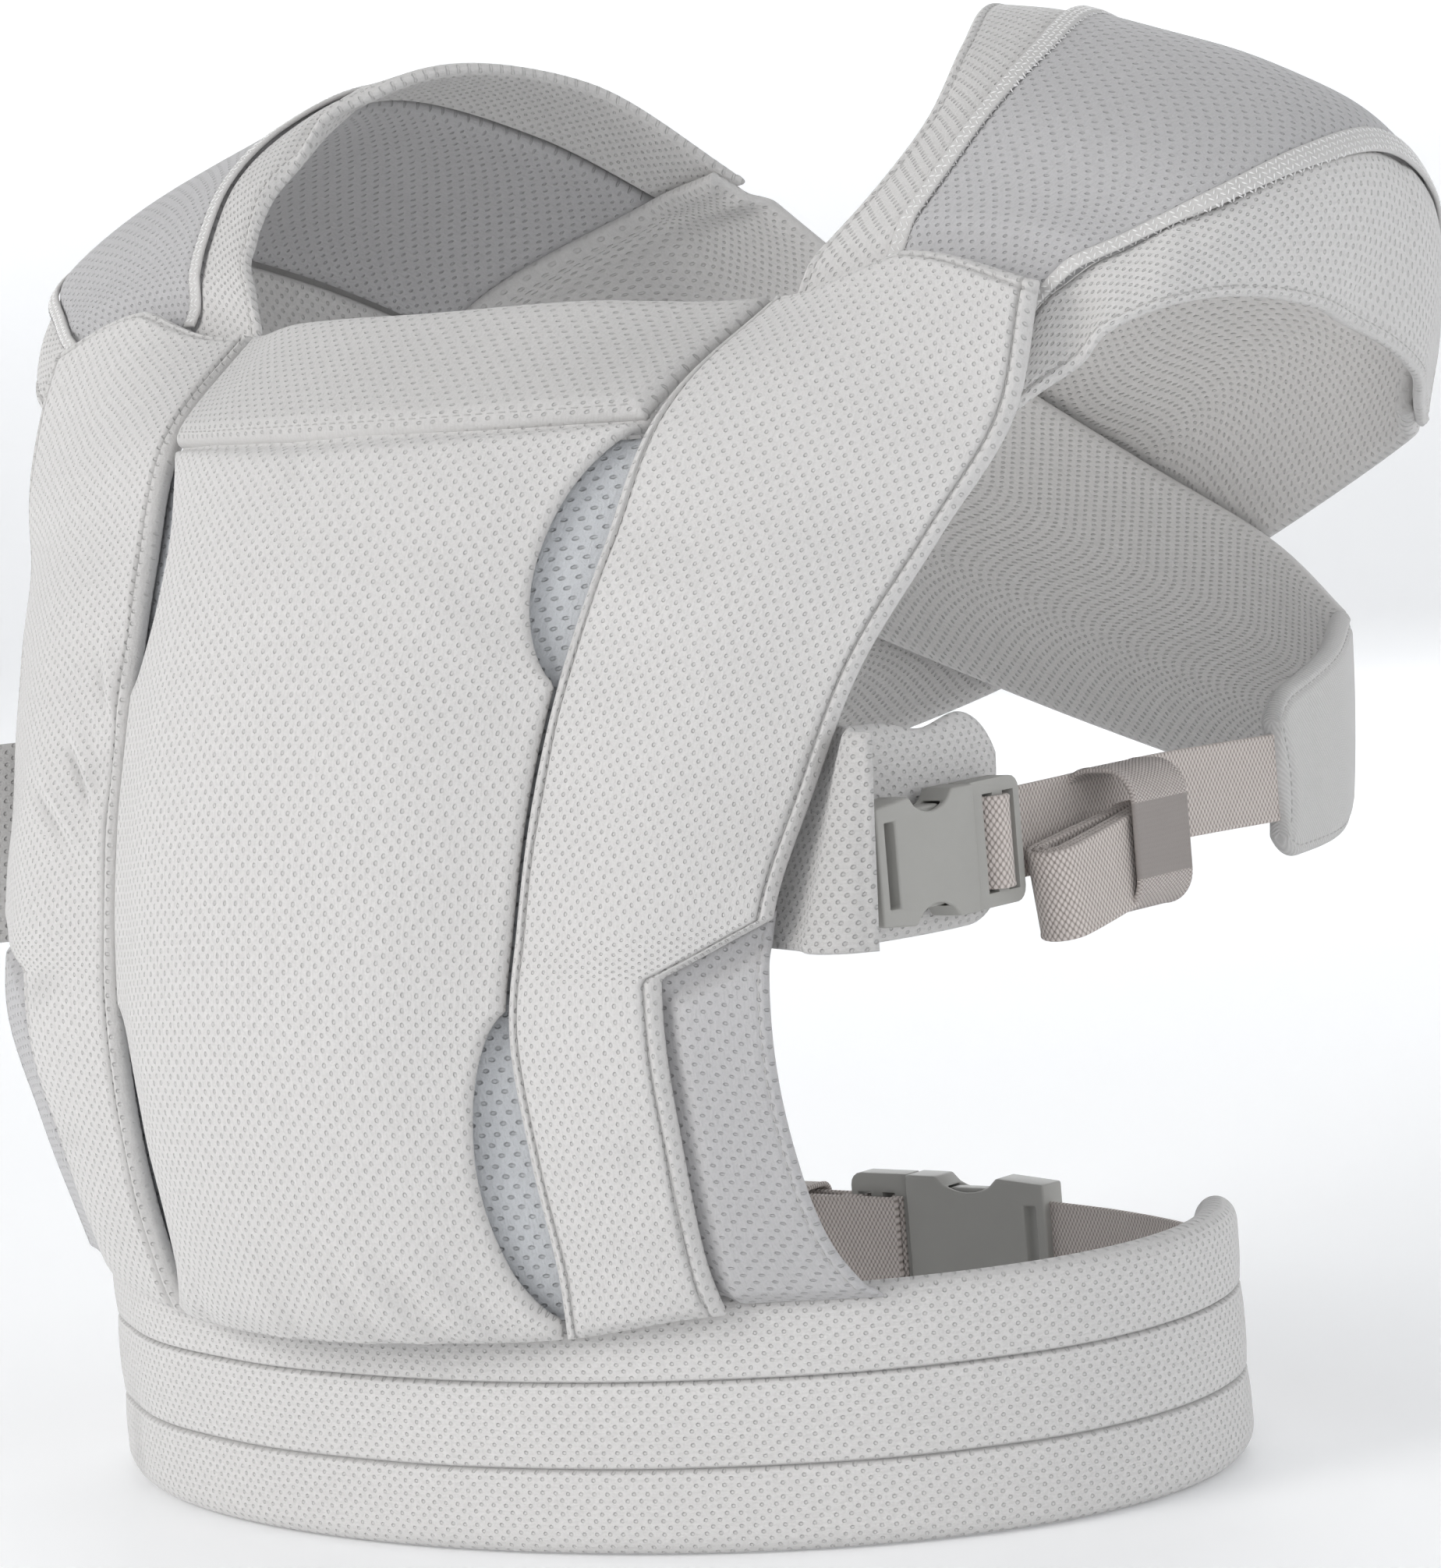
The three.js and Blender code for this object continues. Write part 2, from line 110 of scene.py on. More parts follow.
BACK_SEAM_OUT = [
    [181, 165, 313], [102, 186, 294], [36, 192, 254], [-35, 192, 221], [-99, 182, 199], [-145, 158, 187],
]
BACK_LOWER = [
    [176, 168, 272], [112, 184, 250], [52, 190, 224], [-22, 192, 196], [-92, 182, 176], [-143, 158, 167],
]
END_UPPER = [[-148, 158, 226], [-158, 132, 217], [-161, STRAP_END_Y, 207]]
END_LOWER = [[-143, 158, 167], [-157, 130, 162], [-161, STRAP_END_Y, 160]]
PAD_LINE = [[138, -87], [145, -72], [150, -50], [150, -24]]
PAD_Z = [161, 219]
SLEEVE_UPPER = [[153.5, -87, 221], [159, -95, 221], [164, -98, 221], [168, -98, 221]]
SLEEVE_LOWER = [[144.5, -106, 163], [152, -111, 163], [162, -110, 163], [169.5, -104, 163]]
TOP_LEVEL = len(CENTRE) - 1

# Only the visual model has these.
LINER_LIFT = 5.6  # how far the inner panel lies behind the front one, a little less than the CAD part's 7
HEAD_FOLD_Y = -111.5  # the head support's hinge
HEAD_FOLD_Z = (302, 311)  # the heights of the head support's fold line
WING_LENGTH = 142
WING_CORNER = 11
SHARP_ANGLE = 50  # degrees between two faces that meet in a crisp edge


def unit(vector):
    return vector / np.linalg.norm(vector)


def add_object(name, data):
    made = bpy.data.objects.new(name, data)
    bpy.context.scene.collection.objects.link(made)
    return made


# ---------- camera ----------
CAMERA_AZIMUTH = math.radians(40)
CAMERA_ELEVATION = math.radians(5)
CAMERA_ROLL = math.radians(4.9)
CAMERA_DISTANCE = 1.7
CAMERA_LENS = 135.3
TARGET = np.array([0, SHIFT_Y * MM, 0.2])
AIM_RIGHT = 0.029  # where the picture's middle falls beside and below the target
AIM_UP = -0.0071


def place_camera():
    out = np.array([
        math.sin(CAMERA_AZIMUTH) * math.cos(CAMERA_ELEVATION),
        -math.cos(CAMERA_AZIMUTH) * math.cos(CAMERA_ELEVATION),
        math.sin(CAMERA_ELEVATION),
    ])
    right = np.array([math.cos(CAMERA_AZIMUTH), math.sin(CAMERA_AZIMUTH), 0])
    up = np.cross(out, right)
    eye = TARGET + out * CAMERA_DISTANCE
    aim = TARGET + right * AIM_RIGHT + up * AIM_UP
    z_axis = unit(eye - aim)
    tilted = right * math.cos(CAMERA_ROLL) - up * math.sin(CAMERA_ROLL)
    x_axis = unit(tilted - z_axis * (tilted @ z_axis))
    y_axis = np.cross(z_axis, x_axis)
    camera = add_object("camera", bpy.data.cameras.new("camera"))
    camera.data.lens = CAMERA_LENS
    camera.data.sensor_width = 36
    camera.matrix_world = Matrix([
        [x_axis[i], y_axis[i], z_axis[i], eye[i]] for i in range(3)
    ] + [[0, 0, 0, 1]])
    bpy.context.scene.camera = camera


place_camera()


# ---------- light and floor ----------
def lamp(name, place, size, watts, color=(1, 1, 1)):
    data = bpy.data.lights.new(name, "AREA")
    data.size = size
    data.energy = watts
    data.color = color
    made = add_object(name, data)
    made.location = place
    made.rotation_euler = (Vector((0, 0, 0.2)) - Vector(place)).to_track_quat("-Z", "Y").to_euler()


def studio():
    lamp("key", (-0.9, -2.4, 1.3), 1.3, 32, (1, 0.985, 0.965))
    lamp("fill", (2.5, -0.7, 0.5), 1.6, 8, (0.97, 0.985, 1))
    lamp("top", (0.2, 0.3, 2.4), 1.6, 7)
    lamp("back", (-1.2, 2.0, 1.2), 1.6, 11, (0.98, 0.99, 1))
    world = bpy.data.worlds.new("studio")
    world.use_nodes = True
    world.node_tree.nodes["Background"].inputs["Color"].default_value = (0.96, 0.97, 1, 1)
    world.node_tree.nodes["Background"].inputs["Strength"].default_value = 0.12
    bpy.context.scene.world = world
    bpy.context.scene.view_settings.view_transform = "Standard"


studio()


class Tree:
    """A material's nodes, made with short calls."""

    def __init__(self, name):
        self.material = bpy.data.materials.new(name)
        self.material.use_nodes = True
        self.nodes = self.material.node_tree.nodes
        self.links = self.material.node_tree.links
        self.shader = self.nodes["Principled BSDF"]

    def wire(self, value, socket):
        if isinstance(value, bpy.types.NodeSocket):
            self.links.new(value, socket)
        elif value is not None:
            socket.default_value = value

    def node(self, kind, inputs=(), **settings):
        made = self.nodes.new("ShaderNode" + kind)
        for key, value in settings.items():
            setattr(made, key, value)
        for key, value in dict(inputs).items():
            self.wire(value, made.inputs[key])
        return made

    def math(self, operation, *values):
        return self.node("Math", enumerate(values), operation=operation).outputs[0]

    def vector(self, operation, *values):
        made = self.node("VectorMath", enumerate(values), operation=operation)
        return made.outputs["Value" if operation == "LENGTH" else "Vector"]

    def ramp(self, value, low, high, to_low=0.0, to_high=1.0):
        sockets = {"Value": value, "From Min": low, "From Max": high, "To Min": to_low, "To Max": to_high}
        return self.node("MapRange", sockets, interpolation_type="SMOOTHSTEP").outputs[0]

    def mix(self, factor, a, b):
        made = self.node("Mix", data_type="RGBA")
        for value, socket in zip((factor, a, b), (made.inputs[0], made.inputs[6], made.inputs[7])):
            self.wire(value, socket)
        return made.outputs[2]

    def noise(self, vector, scale, detail=2.0):
        return self.node("TexNoise", {"Vector": vector, "Scale": scale, "Detail": detail}).outputs["Fac"]

    def finish(self, color, roughness, height, depth, sheen=0.0, specular=0.3):
        bump = self.node("Bump", {"Height": height, "Distance": depth})
        self.wire(bump.outputs[0], self.shader.inputs["Normal"])
        self.wire(color, self.shader.inputs["Base Color"])
        self.wire(roughness, self.shader.inputs["Roughness"])
        self.wire(sheen, self.shader.inputs["Sheen Weight"])
        self.wire(specular, self.shader.inputs["Specular IOR Level"])
        return self.material


def tone(color, factor):
    return tuple(channel * factor for channel in color)


def shade(color, factor):
    return (*tone(color, factor), 1)


def lattice(tree, uv, pitch, dot):
    """Distance from a staggered lattice's nearest dot, 1 at its rim. Pitch and dot are in millimetres."""
    cells = tree.vector("MULTIPLY", uv, (1 / (pitch[0] * MM), 1 / (pitch[1] * MM), 0))
    stretch = (2 * pitch[0] / dot[0], 2 * pitch[1] / dot[1], 0)
    near = []
    for offset in (0.0, 0.5):
        moved = tree.vector("ADD", cells, (offset, offset, 0))
        local = tree.vector("SUBTRACT", tree.vector("FRACTION", moved), (0.5, 0.5, 0))
        near.append(tree.vector("LENGTH", tree.vector("MULTIPLY", local, stretch)))
    return tree.math("MINIMUM", *near)


def knit(name, color, pitch, dot, dark, depth, warm=0.05):
    """Air-mesh knit: staggered dimples between fine upright ribs, a little uneven, with painted shade in seams
    and deep creases.
    """
    tree = Tree(name)
    uv = tree.node("TexCoord").outputs["UV"]
    place = tree.node("TexCoord").outputs["Object"]
    wobble = tree.vector("SCALE", tree.node("TexNoise", {"Vector": place, "Scale": 90.0}).outputs["Color"])
    wobble.node.inputs["Scale"].default_value = 0.0009
    loose = tree.vector("ADD", uv, wobble)
    dimple = tree.ramp(lattice(tree, loose, pitch, dot), 0.5, 1.35, 1.0, 0.0)
    ribs = tree.noise(tree.vector("MULTIPLY", uv, (1.0, 0.22, 0.0)), 1500.0, 2.0)
    fibre = tree.noise(place, 1500.0, 3.0)
    texture = tree.math("ADD", tree.math("MULTIPLY", fibre, 0.45), tree.math("MULTIPLY", ribs, 0.55))
    height = tree.math("MULTIPLY_ADD", dimple, -1.0, tree.math("MULTIPLY", texture, 0.8))
    cloudy = tree.noise(place, 9.0)
    ground = tree.mix(cloudy, shade(color, 1 - warm), shade(color, 1 + warm))
    speckled = tree.mix(tree.ramp(texture, 0.36, 0.64), shade(color, 0.93), ground)
    uneven = tree.ramp(tree.noise(place, 380.0), 0.3, 0.7, 0.45 * dark, dark)
    sunk = tree.mix(tree.math("MULTIPLY", dimple, uneven), speckled, shade(color, 0.5))
    # Painted shade: where the cloth's front is sunk into a deep crease or seam, the colour is mixed towards
    # 0.4 of itself.
    crease_shade = tree.node("Attribute", attribute_name="crease_shade").outputs["Fac"]
    crease_shaded = tree.mix(crease_shade, sunk, shade(color, 0.4))
    return tree.finish(crease_shaded, 0.9, height, depth * MM, sheen=0.25, specular=0.2)


def twill(name, color):
    """Fine jersey with a slight diagonal rib, used at the strap ends."""
    tree = Tree(name)
    place = tree.node("TexCoord").outputs["Object"]
    parts = tree.node("SeparateXYZ", {"Vector": tree.node("TexCoord").outputs["UV"]}).outputs
    slant = tree.math("ADD", tree.math("MULTIPLY", parts[0], 3600.0), tree.math("MULTIPLY", parts[1], 5600.0))
    fibre = tree.noise(place, 1700.0, 3.0)
    height = tree.math("MULTIPLY_ADD", tree.math("SINE", slant), 0.5, fibre)
    ground = tree.mix(tree.noise(place, 12.0), shade(color, 0.96), shade(color, 1.04))
    ribbed = tree.mix(tree.ramp(height, 0.0, 1.2), shade(color, 0.88), ground)
    return tree.finish(ribbed, 0.85, height, 0.12 * MM, sheen=0.3, specular=0.2)


def webbing(name, color, gap, thread):
    """Coarse basket weave: threads that go over and under, with darker gaps. Thread is in millimetres."""
    tree = Tree(name)
    place = tree.node("TexCoord").outputs["Object"]
    uv = tree.node("TexCoord").outputs["UV"]
    dots = lattice(tree, uv, (thread * 1.9, thread * 1.25), (thread * 1.75, thread * 1.1))
    crown = tree.ramp(dots, 0.35, 1.15, 1.0, 0.0)
    fibre = tree.noise(place, 2200.0, 2.0)
    height = tree.math("MULTIPLY_ADD", fibre, 0.25, crown)
    lit = tree.mix(tree.noise(place, 14.0), shade(color, 0.95), shade(color, 1.05))
    weave = tree.mix(crown, (*gap, 1), lit)
    return tree.finish(weave, 0.75, height, 0.35 * MM, sheen=0.15, specular=0.25)


def moulded(name, color):
    """Matt moulded plastic with a faint spark-eroded grain."""
    tree = Tree(name)
    place = tree.node("TexCoord").outputs["Object"]
    grain = tree.noise(place, 2600.0, 2.0)
    soft = tree.noise(place, 60.0)
    tint = tree.mix(soft, shade(color, 0.97), shade(color, 1.03))
    return tree.finish(tint, tree.ramp(grain, 0.3, 0.7, 0.42, 0.5), grain, 0.04 * MM, specular=0.4)


def plain_cloth(name, color):
    """Sewing thread and tape: a faint twist only."""
    tree = Tree(name)
    place = tree.node("TexCoord").outputs["Object"]
    fibre = tree.noise(place, 1800.0, 2.0)
    tint = tree.mix(fibre, shade(color, 0.9), shade(color, 1.08))
    return tree.finish(tint, 0.8, fibre, 0.1 * MM, sheen=0.2, specular=0.25)


LIGHT = (0.59, 0.58, 0.57)
DARK = (0.46, 0.455, 0.46)
COOL = (0.545, 0.56, 0.58)
TAUPE = (0.64, 0.58, 0.55)

PANEL_KNIT = knit("panel_knit", LIGHT, (3.95, 4.0), (0.95, 1.3), 0.22, 0.4)
GRAIN_KNIT = knit("grain_knit", LIGHT, (3.7, 3.8), (0.9, 1.1), 0.19, 0.4)
LIGHT_KNIT = knit("light_knit", LIGHT, (3.7, 3.8), (1.0, 1.05), 0.22, 0.42)
# Painted shade: the sleeve's knit is the light knit toned down to 0.84, for the shade the sleeve lies in
# beside the strap.
SHADED_SLEEVE_KNIT = knit("shaded_sleeve_knit", tone(LIGHT, 0.84), (3.7, 3.9), (1.1, 1.1), 0.29, 0.5)
DARK_KNIT = knit("dark_knit", DARK, (4.3, 4.7), (1.4, 0.85), 0.36, 0.45)
REST_KNIT = knit("rest_knit", tone(LIGHT, 0.9), (4.3, 4.6), (1.4, 0.85), 0.34, 0.4)
LINER_KNIT = knit("liner_knit", COOL, (4.4, 5.8), (1.7, 1.1), 0.62, 0.6)
JERSEY = twill("jersey", tone(LIGHT, 0.95))
STRAP_WEB = webbing("strap_webbing", TAUPE, (0.27, 0.235, 0.21), 1.25)
FINE_WEB = webbing("elastic_webbing", tone(TAUPE, 0.88), (0.27, 0.235, 0.215), 0.85)
PLASTIC = moulded("matt_plastic", (0.34, 0.335, 0.315))
THREAD = plain_cloth("thread", tone(LIGHT, 0.74))
PALE_THREAD = plain_cloth("pale_thread", (0.78, 0.775, 0.77))
TAPE = plain_cloth("seam_tape", tone(LIGHT, 0.9))


# ---------- curves and surfaces ----------
def catmull(points, t):
    """Points at t (..., m) on the smooth curves through points (..., n, 3), spaced by distance's root."""
    first = 2 * points[..., :1, :] - points[..., 1:2, :]
    last = 2 * points[..., -1:, :] - points[..., -2:-1, :]
    padded = np.concatenate([first, points, last], axis=-2)
    count = points.shape[-2]
    s = np.clip(t, 0, 1) * (count - 1)
    k = np.minimum(s.astype(int), count - 2)
    w = (s - k)[..., None]
    a, b, c, d = (np.take_along_axis(padded, (k + j)[..., None], axis=-2) for j in range(4))
    d0, d1, d2 = (np.linalg.norm(q - p, axis=-1, keepdims=True) ** 0.5 for p, q in ((a, b), (b, c), (c, d)))
    t1 = ((b - a) / d0 - (c - a) / (d0 + d1) + (c - b) / d1) * d1
    t2 = ((c - b) / d1 - (d - b) / (d1 + d2) + (d - c) / d2) * d1
    return b + t1 * w + (3 * (c - b) - 2 * t1 - t2) * w**2 + (2 * (b - c) + t1 + t2) * w**3


def metres(points):
    return (np.array(points, float) + [0, SHIFT_Y, 0]) * MM


def distances(points):
    """How far along a line each of its points is."""
    return np.concatenate([[0], np.linalg.norm(np.diff(points, axis=0), axis=1).cumsum()])


def loft(rails):
    """A smooth surface through rails: u runs along them, v across them."""
    fixed = np.array([metres(rail) for rail in rails])

    def at(u, v):
        columns = catmull(fixed, np.broadcast_to(u, (len(fixed), len(u))))
        return catmull(np.swapaxes(columns, 0, 1), v)

    return at


def wall(line, heights):
    """A surface that stands on a line in plan, from the greater height down to the lower one."""
    return loft([[[x, y, z] for x, y in line] for z in (heights[1], heights[0])])


def mirrored(points):
    return [[-p[0], *p[1:]] for p in points]


def constant(value):
    return lambda u: np.full(len(u), float(value))


def smoothstep(x):
    x = np.clip(x, 0, 1)
    return x * x * (3 - 2 * x)


# Distances from an edge where a piece needs points, for its round edge, its piping and its stitch line.
EDGE_STEPS = np.array([0, 0.15, 0.5, 1.0, 1.6, 2.3, 3.0, 3.6, 4.1, 4.6, 5.2, 6.0, 7.2]) * MM
ROUGH_COUNT = 41  # points along each way of the grid that a piece's size is measured on
NEAR = 0.004  # the share of a surface over which its slope is taken
CREASE_SHADE_START = 0.5  # millimetres of depth at which a sewn crease starts to get painted shade
CREASE_SHADE_RANGE = 1.6
CREASE_SHADE_MOST = 0.7
SEAM_STEPS = np.array([-2.0, -1.3, -0.8, -0.4, 0, 0.4, 0.8, 1.3, 2.0])  # the same on both sides of a seam


def spread(length, step, fine_start=True, fine_end=True):
    """Places from 0 to 1 that are close together near the ends."""
    start = EDGE_STEPS if fine_start else np.array([0.0])
    end = length - (EDGE_STEPS if fine_end else np.array([0.0]))
    start = start[start < length * 0.45]
    end = end[end > length * 0.55]
    count = max(2, int((end[-1] - start[-1]) / step))
    middle = np.linspace(start[-1], end[-1], count + 1)[1:-1]
    return np.concatenate([start, middle, end[::-1]]) / length


def groove(distance, depth, width=0.7):
    return -depth * MM * np.exp(-((distance / (width * MM)) ** 2))


def piping(distance, at=3.6, ridge=0.55, depth=0.8):
    """Height over a turned edge that is stitched down at a distance from the edge."""
    bead = ridge * MM * np.exp(-(((distance - at * 0.45 * MM) / (at * 0.36 * MM)) ** 2))
    return bead + groove(distance - at * MM, depth)


class Cloth:
    """A closed piece of cloth on a surface. Edges are low, high (across) and start, end (along)."""

    def __init__(self, surface, u, low, high, thickness, lift=0.0, step=1.7, round_edges="low high start end",
                 side=1, corner=1.5, crown=0.0, seams=()):
        self.side = side
        self.thickness = thickness * MM
        rounded = round_edges.split()
        rough = np.linspace(u[0], u[1], ROUGH_COUNT)
        shares = np.linspace(0, 1, ROUGH_COUNT)
        grid = surface(rough, low(rough)[:, None] + shares * (high(rough) - low(rough))[:, None])
        wide = np.linalg.norm(np.diff(grid, axis=1), axis=2).sum(1).max()
        long = np.linalg.norm(np.diff(grid, axis=0), axis=2).sum(0).max()
        along = spread(long, step * MM, "start" in rounded, "end" in rounded)
        self.u = u[0] + along * (u[1] - u[0])
        self.s = spread(wide, step * MM, "low" in rounded, "high" in rounded)
        fine = [share + offset * MM / wide for share in seams for offset in SEAM_STEPS]
        self.s = np.unique(np.concatenate([self.s, fine]))
        v = low(self.u)[:, None] + self.s * (high(self.u) - low(self.u))[:, None]
        self.mid = surface(self.u, v)
        tangent_v = surface(self.u, np.minimum(v + NEAR, 1)) - surface(self.u, np.maximum(v - NEAR, 0))
        lower = surface(np.maximum(self.u - NEAR, 0), v)
        upper = surface(np.minimum(self.u + NEAR, 1), v)
        normal = np.cross(tangent_v, upper - lower)
        self.normal = normal / np.linalg.norm(normal, axis=2, keepdims=True)
        self.mid = self.mid + self.normal * lift * MM
        across = np.linalg.norm(np.diff(self.mid, axis=1), axis=2).cumsum(1)
        up = np.linalg.norm(np.diff(self.mid, axis=0), axis=2).cumsum(0)
        self.across = np.concatenate([np.zeros((len(self.u), 1)), across], 1)
        self.along = np.concatenate([np.zeros((1, len(self.s))), up], 0)
        share = self.across[:, -1] / (v[:, -1] - v[:, 0])
        self.knit = np.stack([(v - 0.5) * share.mean(), self.along], -1)
        self.edge = {
            "low": self.across, "high": self.across[:, -1:] - self.across,
            "start": self.along, "end": self.along[-1:] - self.along,
        }
        near = [self.edge[e] for e in rounded]
        self.inward = np.min(near, axis=0) if near else np.full(self.across.shape, 1.0)
        reach = np.clip(self.inward / (self.thickness * 0.5 * corner), 0, 1)
        middle = 4 * self.s * (1 - self.s)
        self.half = self.thickness / 2 * np.sqrt(np.maximum(1 - (1 - reach) ** 2, 0))
        self.front = self.half + crown * MM * middle[None, :] * reach
        self.back = self.half.copy()
        self.closing = reach
        # How much painted shade each point gets for lying in a crease.
        self.crease_shade = np.zeros(self.across.shape)

    def raise_front(self, height, sewn=True):
        """Adds a height to the front face, fading out at the rounded edges. Deep sewn creases are marked for
        painted shade.
        """
        self.front = self.front + height * self.closing
        if sewn:
            painted_shade = np.clip((-height / MM - CREASE_SHADE_START) / CREASE_SHADE_RANGE, 0, CREASE_SHADE_MOST)
            self.crease_shade = np.maximum(self.crease_shade, painted_shade)

    def bend(self, height):
        """Moves the whole thickness off the surface."""
        self.mid = self.mid + self.normal * height[..., None]

    def faces(self):
        top = self.mid + self.normal * self.front[..., None]
        bottom = self.mid - self.normal * self.back[..., None]
        return top, bottom

    def track(self, edge, distance, trim=0.0):
        """The front face's points along a line at a distance from an edge, with the way out of the face."""
        top, _ = self.faces()
        gap = self.edge[edge]
        lines = zip(gap, top, self.normal)
        if edge in ("start", "end"):
            lines = zip(gap.T, top.swapaxes(0, 1), self.normal.swapaxes(0, 1))
        found = []
        for row, points, normals in lines:
            order = slice(None) if row[0] < row[-1] else slice(None, None, -1)
            found.append([np.interp(distance * MM, row[order], column[order])
                          for column in (*points.T, *normals.T)])
        found = np.array(found)
        length = distances(found[:, :3])
        kept = found[(length >= trim * MM) & (length <= length[-1] - trim * MM)]
        return kept * [self.side, 1, 1, self.side, 1, 1]

    def build(self, name, material):
        top, bottom = self.faces()
        rows, columns = self.across.shape
        places = np.concatenate([top.reshape(-1, 3), bottom.reshape(-1, 3)]) * [self.side, 1, 1]
        uv = np.concatenate([self.knit.reshape(-1, 2)] * 2)
        index = np.arange(rows * columns).reshape(rows, columns)
        quads = np.stack([index[:-1, :-1], index[:-1, 1:], index[1:, 1:], index[1:, :-1]], -1).reshape(-1, 4)
        under = quads[:, ::-1] + rows * columns
        rim = np.concatenate([index[0, :-1], index[:-1, -1], index[-1, :0:-1], index[:0:-1, 0]])
        after = np.roll(rim, -1)
        walls = np.stack([rim + rows * columns, after + rows * columns, after, rim], -1)
        quads = np.concatenate([quads, under, walls])
        if self.side < 0:
            quads = quads[:, ::-1]
        # The front face carries the creases' painted shade, the back face none.
        crease_shade = np.concatenate([self.crease_shade.ravel(), 0 * self.crease_shade.ravel()])
        return mesh_piece(name, places, quads.tolist(), material, uv, crease_shade)


def mesh_piece(name, places, faces, material, uv=None, crease_shade=None):
    data = bpy.data.meshes.new(name)
    data.from_pydata(places.tolist(), [], faces)
    if uv is not None:
        layer = data.uv_layers.new(name="cloth")
        corners = np.zeros(len(data.loops), np.int32)
        data.loops.foreach_get("vertex_index", corners)
        layer.data.foreach_set("uv", uv[corners].astype(np.float32).ravel())
    # The painted shade of the creases, stored per point for the material.
    if crease_shade is not None:
        data.attributes.new("crease_shade", "FLOAT", "POINT").data.foreach_set("value", crease_shade.astype(np.float32))
    welded = bmesh.new()
    welded.from_mesh(data)
    bmesh.ops.remove_doubles(welded, verts=welded.verts, dist=1e-6)
    bmesh.ops.recalc_face_normals(welded, faces=welded.faces)
    welded.to_mesh(data)
    welded.free()
    data.shade_smooth()
    data.set_sharp_from_angle(angle=math.radians(SHARP_ANGLE))
    data.materials.append(material)
    return add_object(name, data)


def settle(piece, body, slot, *nodes):
    if body:
        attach(piece, body)
    if nodes:
        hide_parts(*nodes)
    return piece


def sew(cloth, node, ending, material, body="carrier", slot="mesh_light"):
    """Builds a padded piece that stands for a CAD node and is named after it."""
    piece = settle(cloth.build(f"{node}_{ending}", material), body, slot, node)
    return piece


# ---------- stitches ----------
def stitches(name, tracks, material=THREAD, body="carrier", slot="mesh_light", length=2.5, gap=0.9,
             radius=0.24, zigzag=0.0, sink=0.1):
    """Runs of thread stitches along tracks, as one piece. With zigzag they swing from side to side."""
    rings = np.array([0.0, 0.12, 0.5, 0.88, 1.0])
    swell = np.array([0.15, 0.75, 1.0, 0.75, 0.15])
    dip = np.array([0.9, 0.2, 0.0, 0.2, 0.9])
    sides = 6
    turns = np.linspace(0, 2 * np.pi, sides + 1)[:-1]
    on, after = np.arange(sides), (np.arange(sides) + 1) % sides
    places, faces = [], []
    for track in tracks:
        if len(track) < 3:
            continue
        run = distances(track[:, :3])
        pitch = (length + gap) * MM
        at = lambda s: np.stack([np.interp(s, run, track[:, k]) for k in range(6)], -1)
        for number, start in enumerate(np.arange(gap * MM, run[-1] - length * MM, pitch)):
            ends = at(np.array([start, start + length * MM]))
            way = unit(ends[1, :3] - ends[0, :3])
            out = unit(ends[0, 3:])
            aside = np.cross(out, way)
            swing = zigzag * MM * (1 if number % 2 else -1)
            points = ends[0, :3] + rings[:, None] * (ends[1, :3] - ends[0, :3])
            points = points + aside * (swing * (2 * rings - 1))[:, None]
            points = points + out * ((sink - dip * 0.45) * MM)[:, None]
            circle = np.cos(turns)[:, None] * aside + np.sin(turns)[:, None] * out
            ring = points[:, None, :] + circle * (radius * MM * swell)[:, None, None]
            base = sides * len(rings) * len(places)
            places.append(ring.reshape(-1, 3))
            for first in range(base, base + sides * (len(rings) - 1), sides):
                faces += (first + np.stack([on, after, after + sides, on + sides], -1)).tolist()
            faces.append((base + on[::-1]).tolist())
            faces.append((base + sides * (len(rings) - 1) + on).tolist())
    data = bpy.data.meshes.new(name)
    data.from_pydata(np.concatenate(places).tolist(), [], faces)
    data.shade_smooth()
    data.materials.append(material)
    return settle(add_object(name, data), body, slot)


# ---------- natural unevenness ----------
def ripples(cloth, seed, size=45.0, height=0.6):
    """Slow waves in the cloth: a sum of a few slanted sines with fixed random places."""
    random = np.random.default_rng(seed)
    total = np.zeros(cloth.across.shape)
    for _ in range(5):
        angle, phase = random.uniform(0, np.pi), random.uniform(0, 2 * np.pi)
        wave = size * MM * random.uniform(0.6, 1.6)
        along = cloth.across * np.cos(angle) + cloth.along * np.sin(angle)
        total += np.sin(2 * np.pi * along / wave + phase)
    return total * height * MM / 5


def fold(cloth, a, b, width, height, axes=(0, 2)):
    """A soft ridge, or below zero a crease, between two places in millimetres seen along one axis."""
    shift = np.array([0, SHIFT_Y, 0])[list(axes)]
    a = (np.array(a, float) + shift) * MM
    b = (np.array(b, float) + shift) * MM
    place = cloth.mid[..., list(axes)]
    way = b - a
    t = np.clip(((place - a) @ way) / (way @ way), 0, 1)
    off = np.linalg.norm(place - a - t[..., None] * way, axis=-1)
    taper = np.sin(np.pi * np.clip(t, 0.06, 0.94)) ** 0.6
    return height * MM * taper * np.exp(-((off / (width * MM)) ** 2))


# ---------- front shell ----------
LEFT_RAILS = [CENTRE, QUARTER, STRAP_INNER, STRAP_MIDDLE, STRAP_OUTER]
shell = loft([mirrored(rail) for rail in LEFT_RAILS[:0:-1]] + LEFT_RAILS)
INNER_V = 6 / 8
EDGE = 0.004
LEG_SEAM_V = 0.895
SLIT_DEPTH = 0.047


def level(k):
    return k / TOP_LEVEL


def slit(u, start, end):
    t = np.clip((u - level(start)) / (level(end) - level(start)), 0, 1)
    return SLIT_DEPTH * np.sin(np.pi * t) ** 0.7


def panel_side(u):
    return INNER_V - EDGE / 2 - slit(u, 0.3, 3.2) - slit(u, 6, 8)


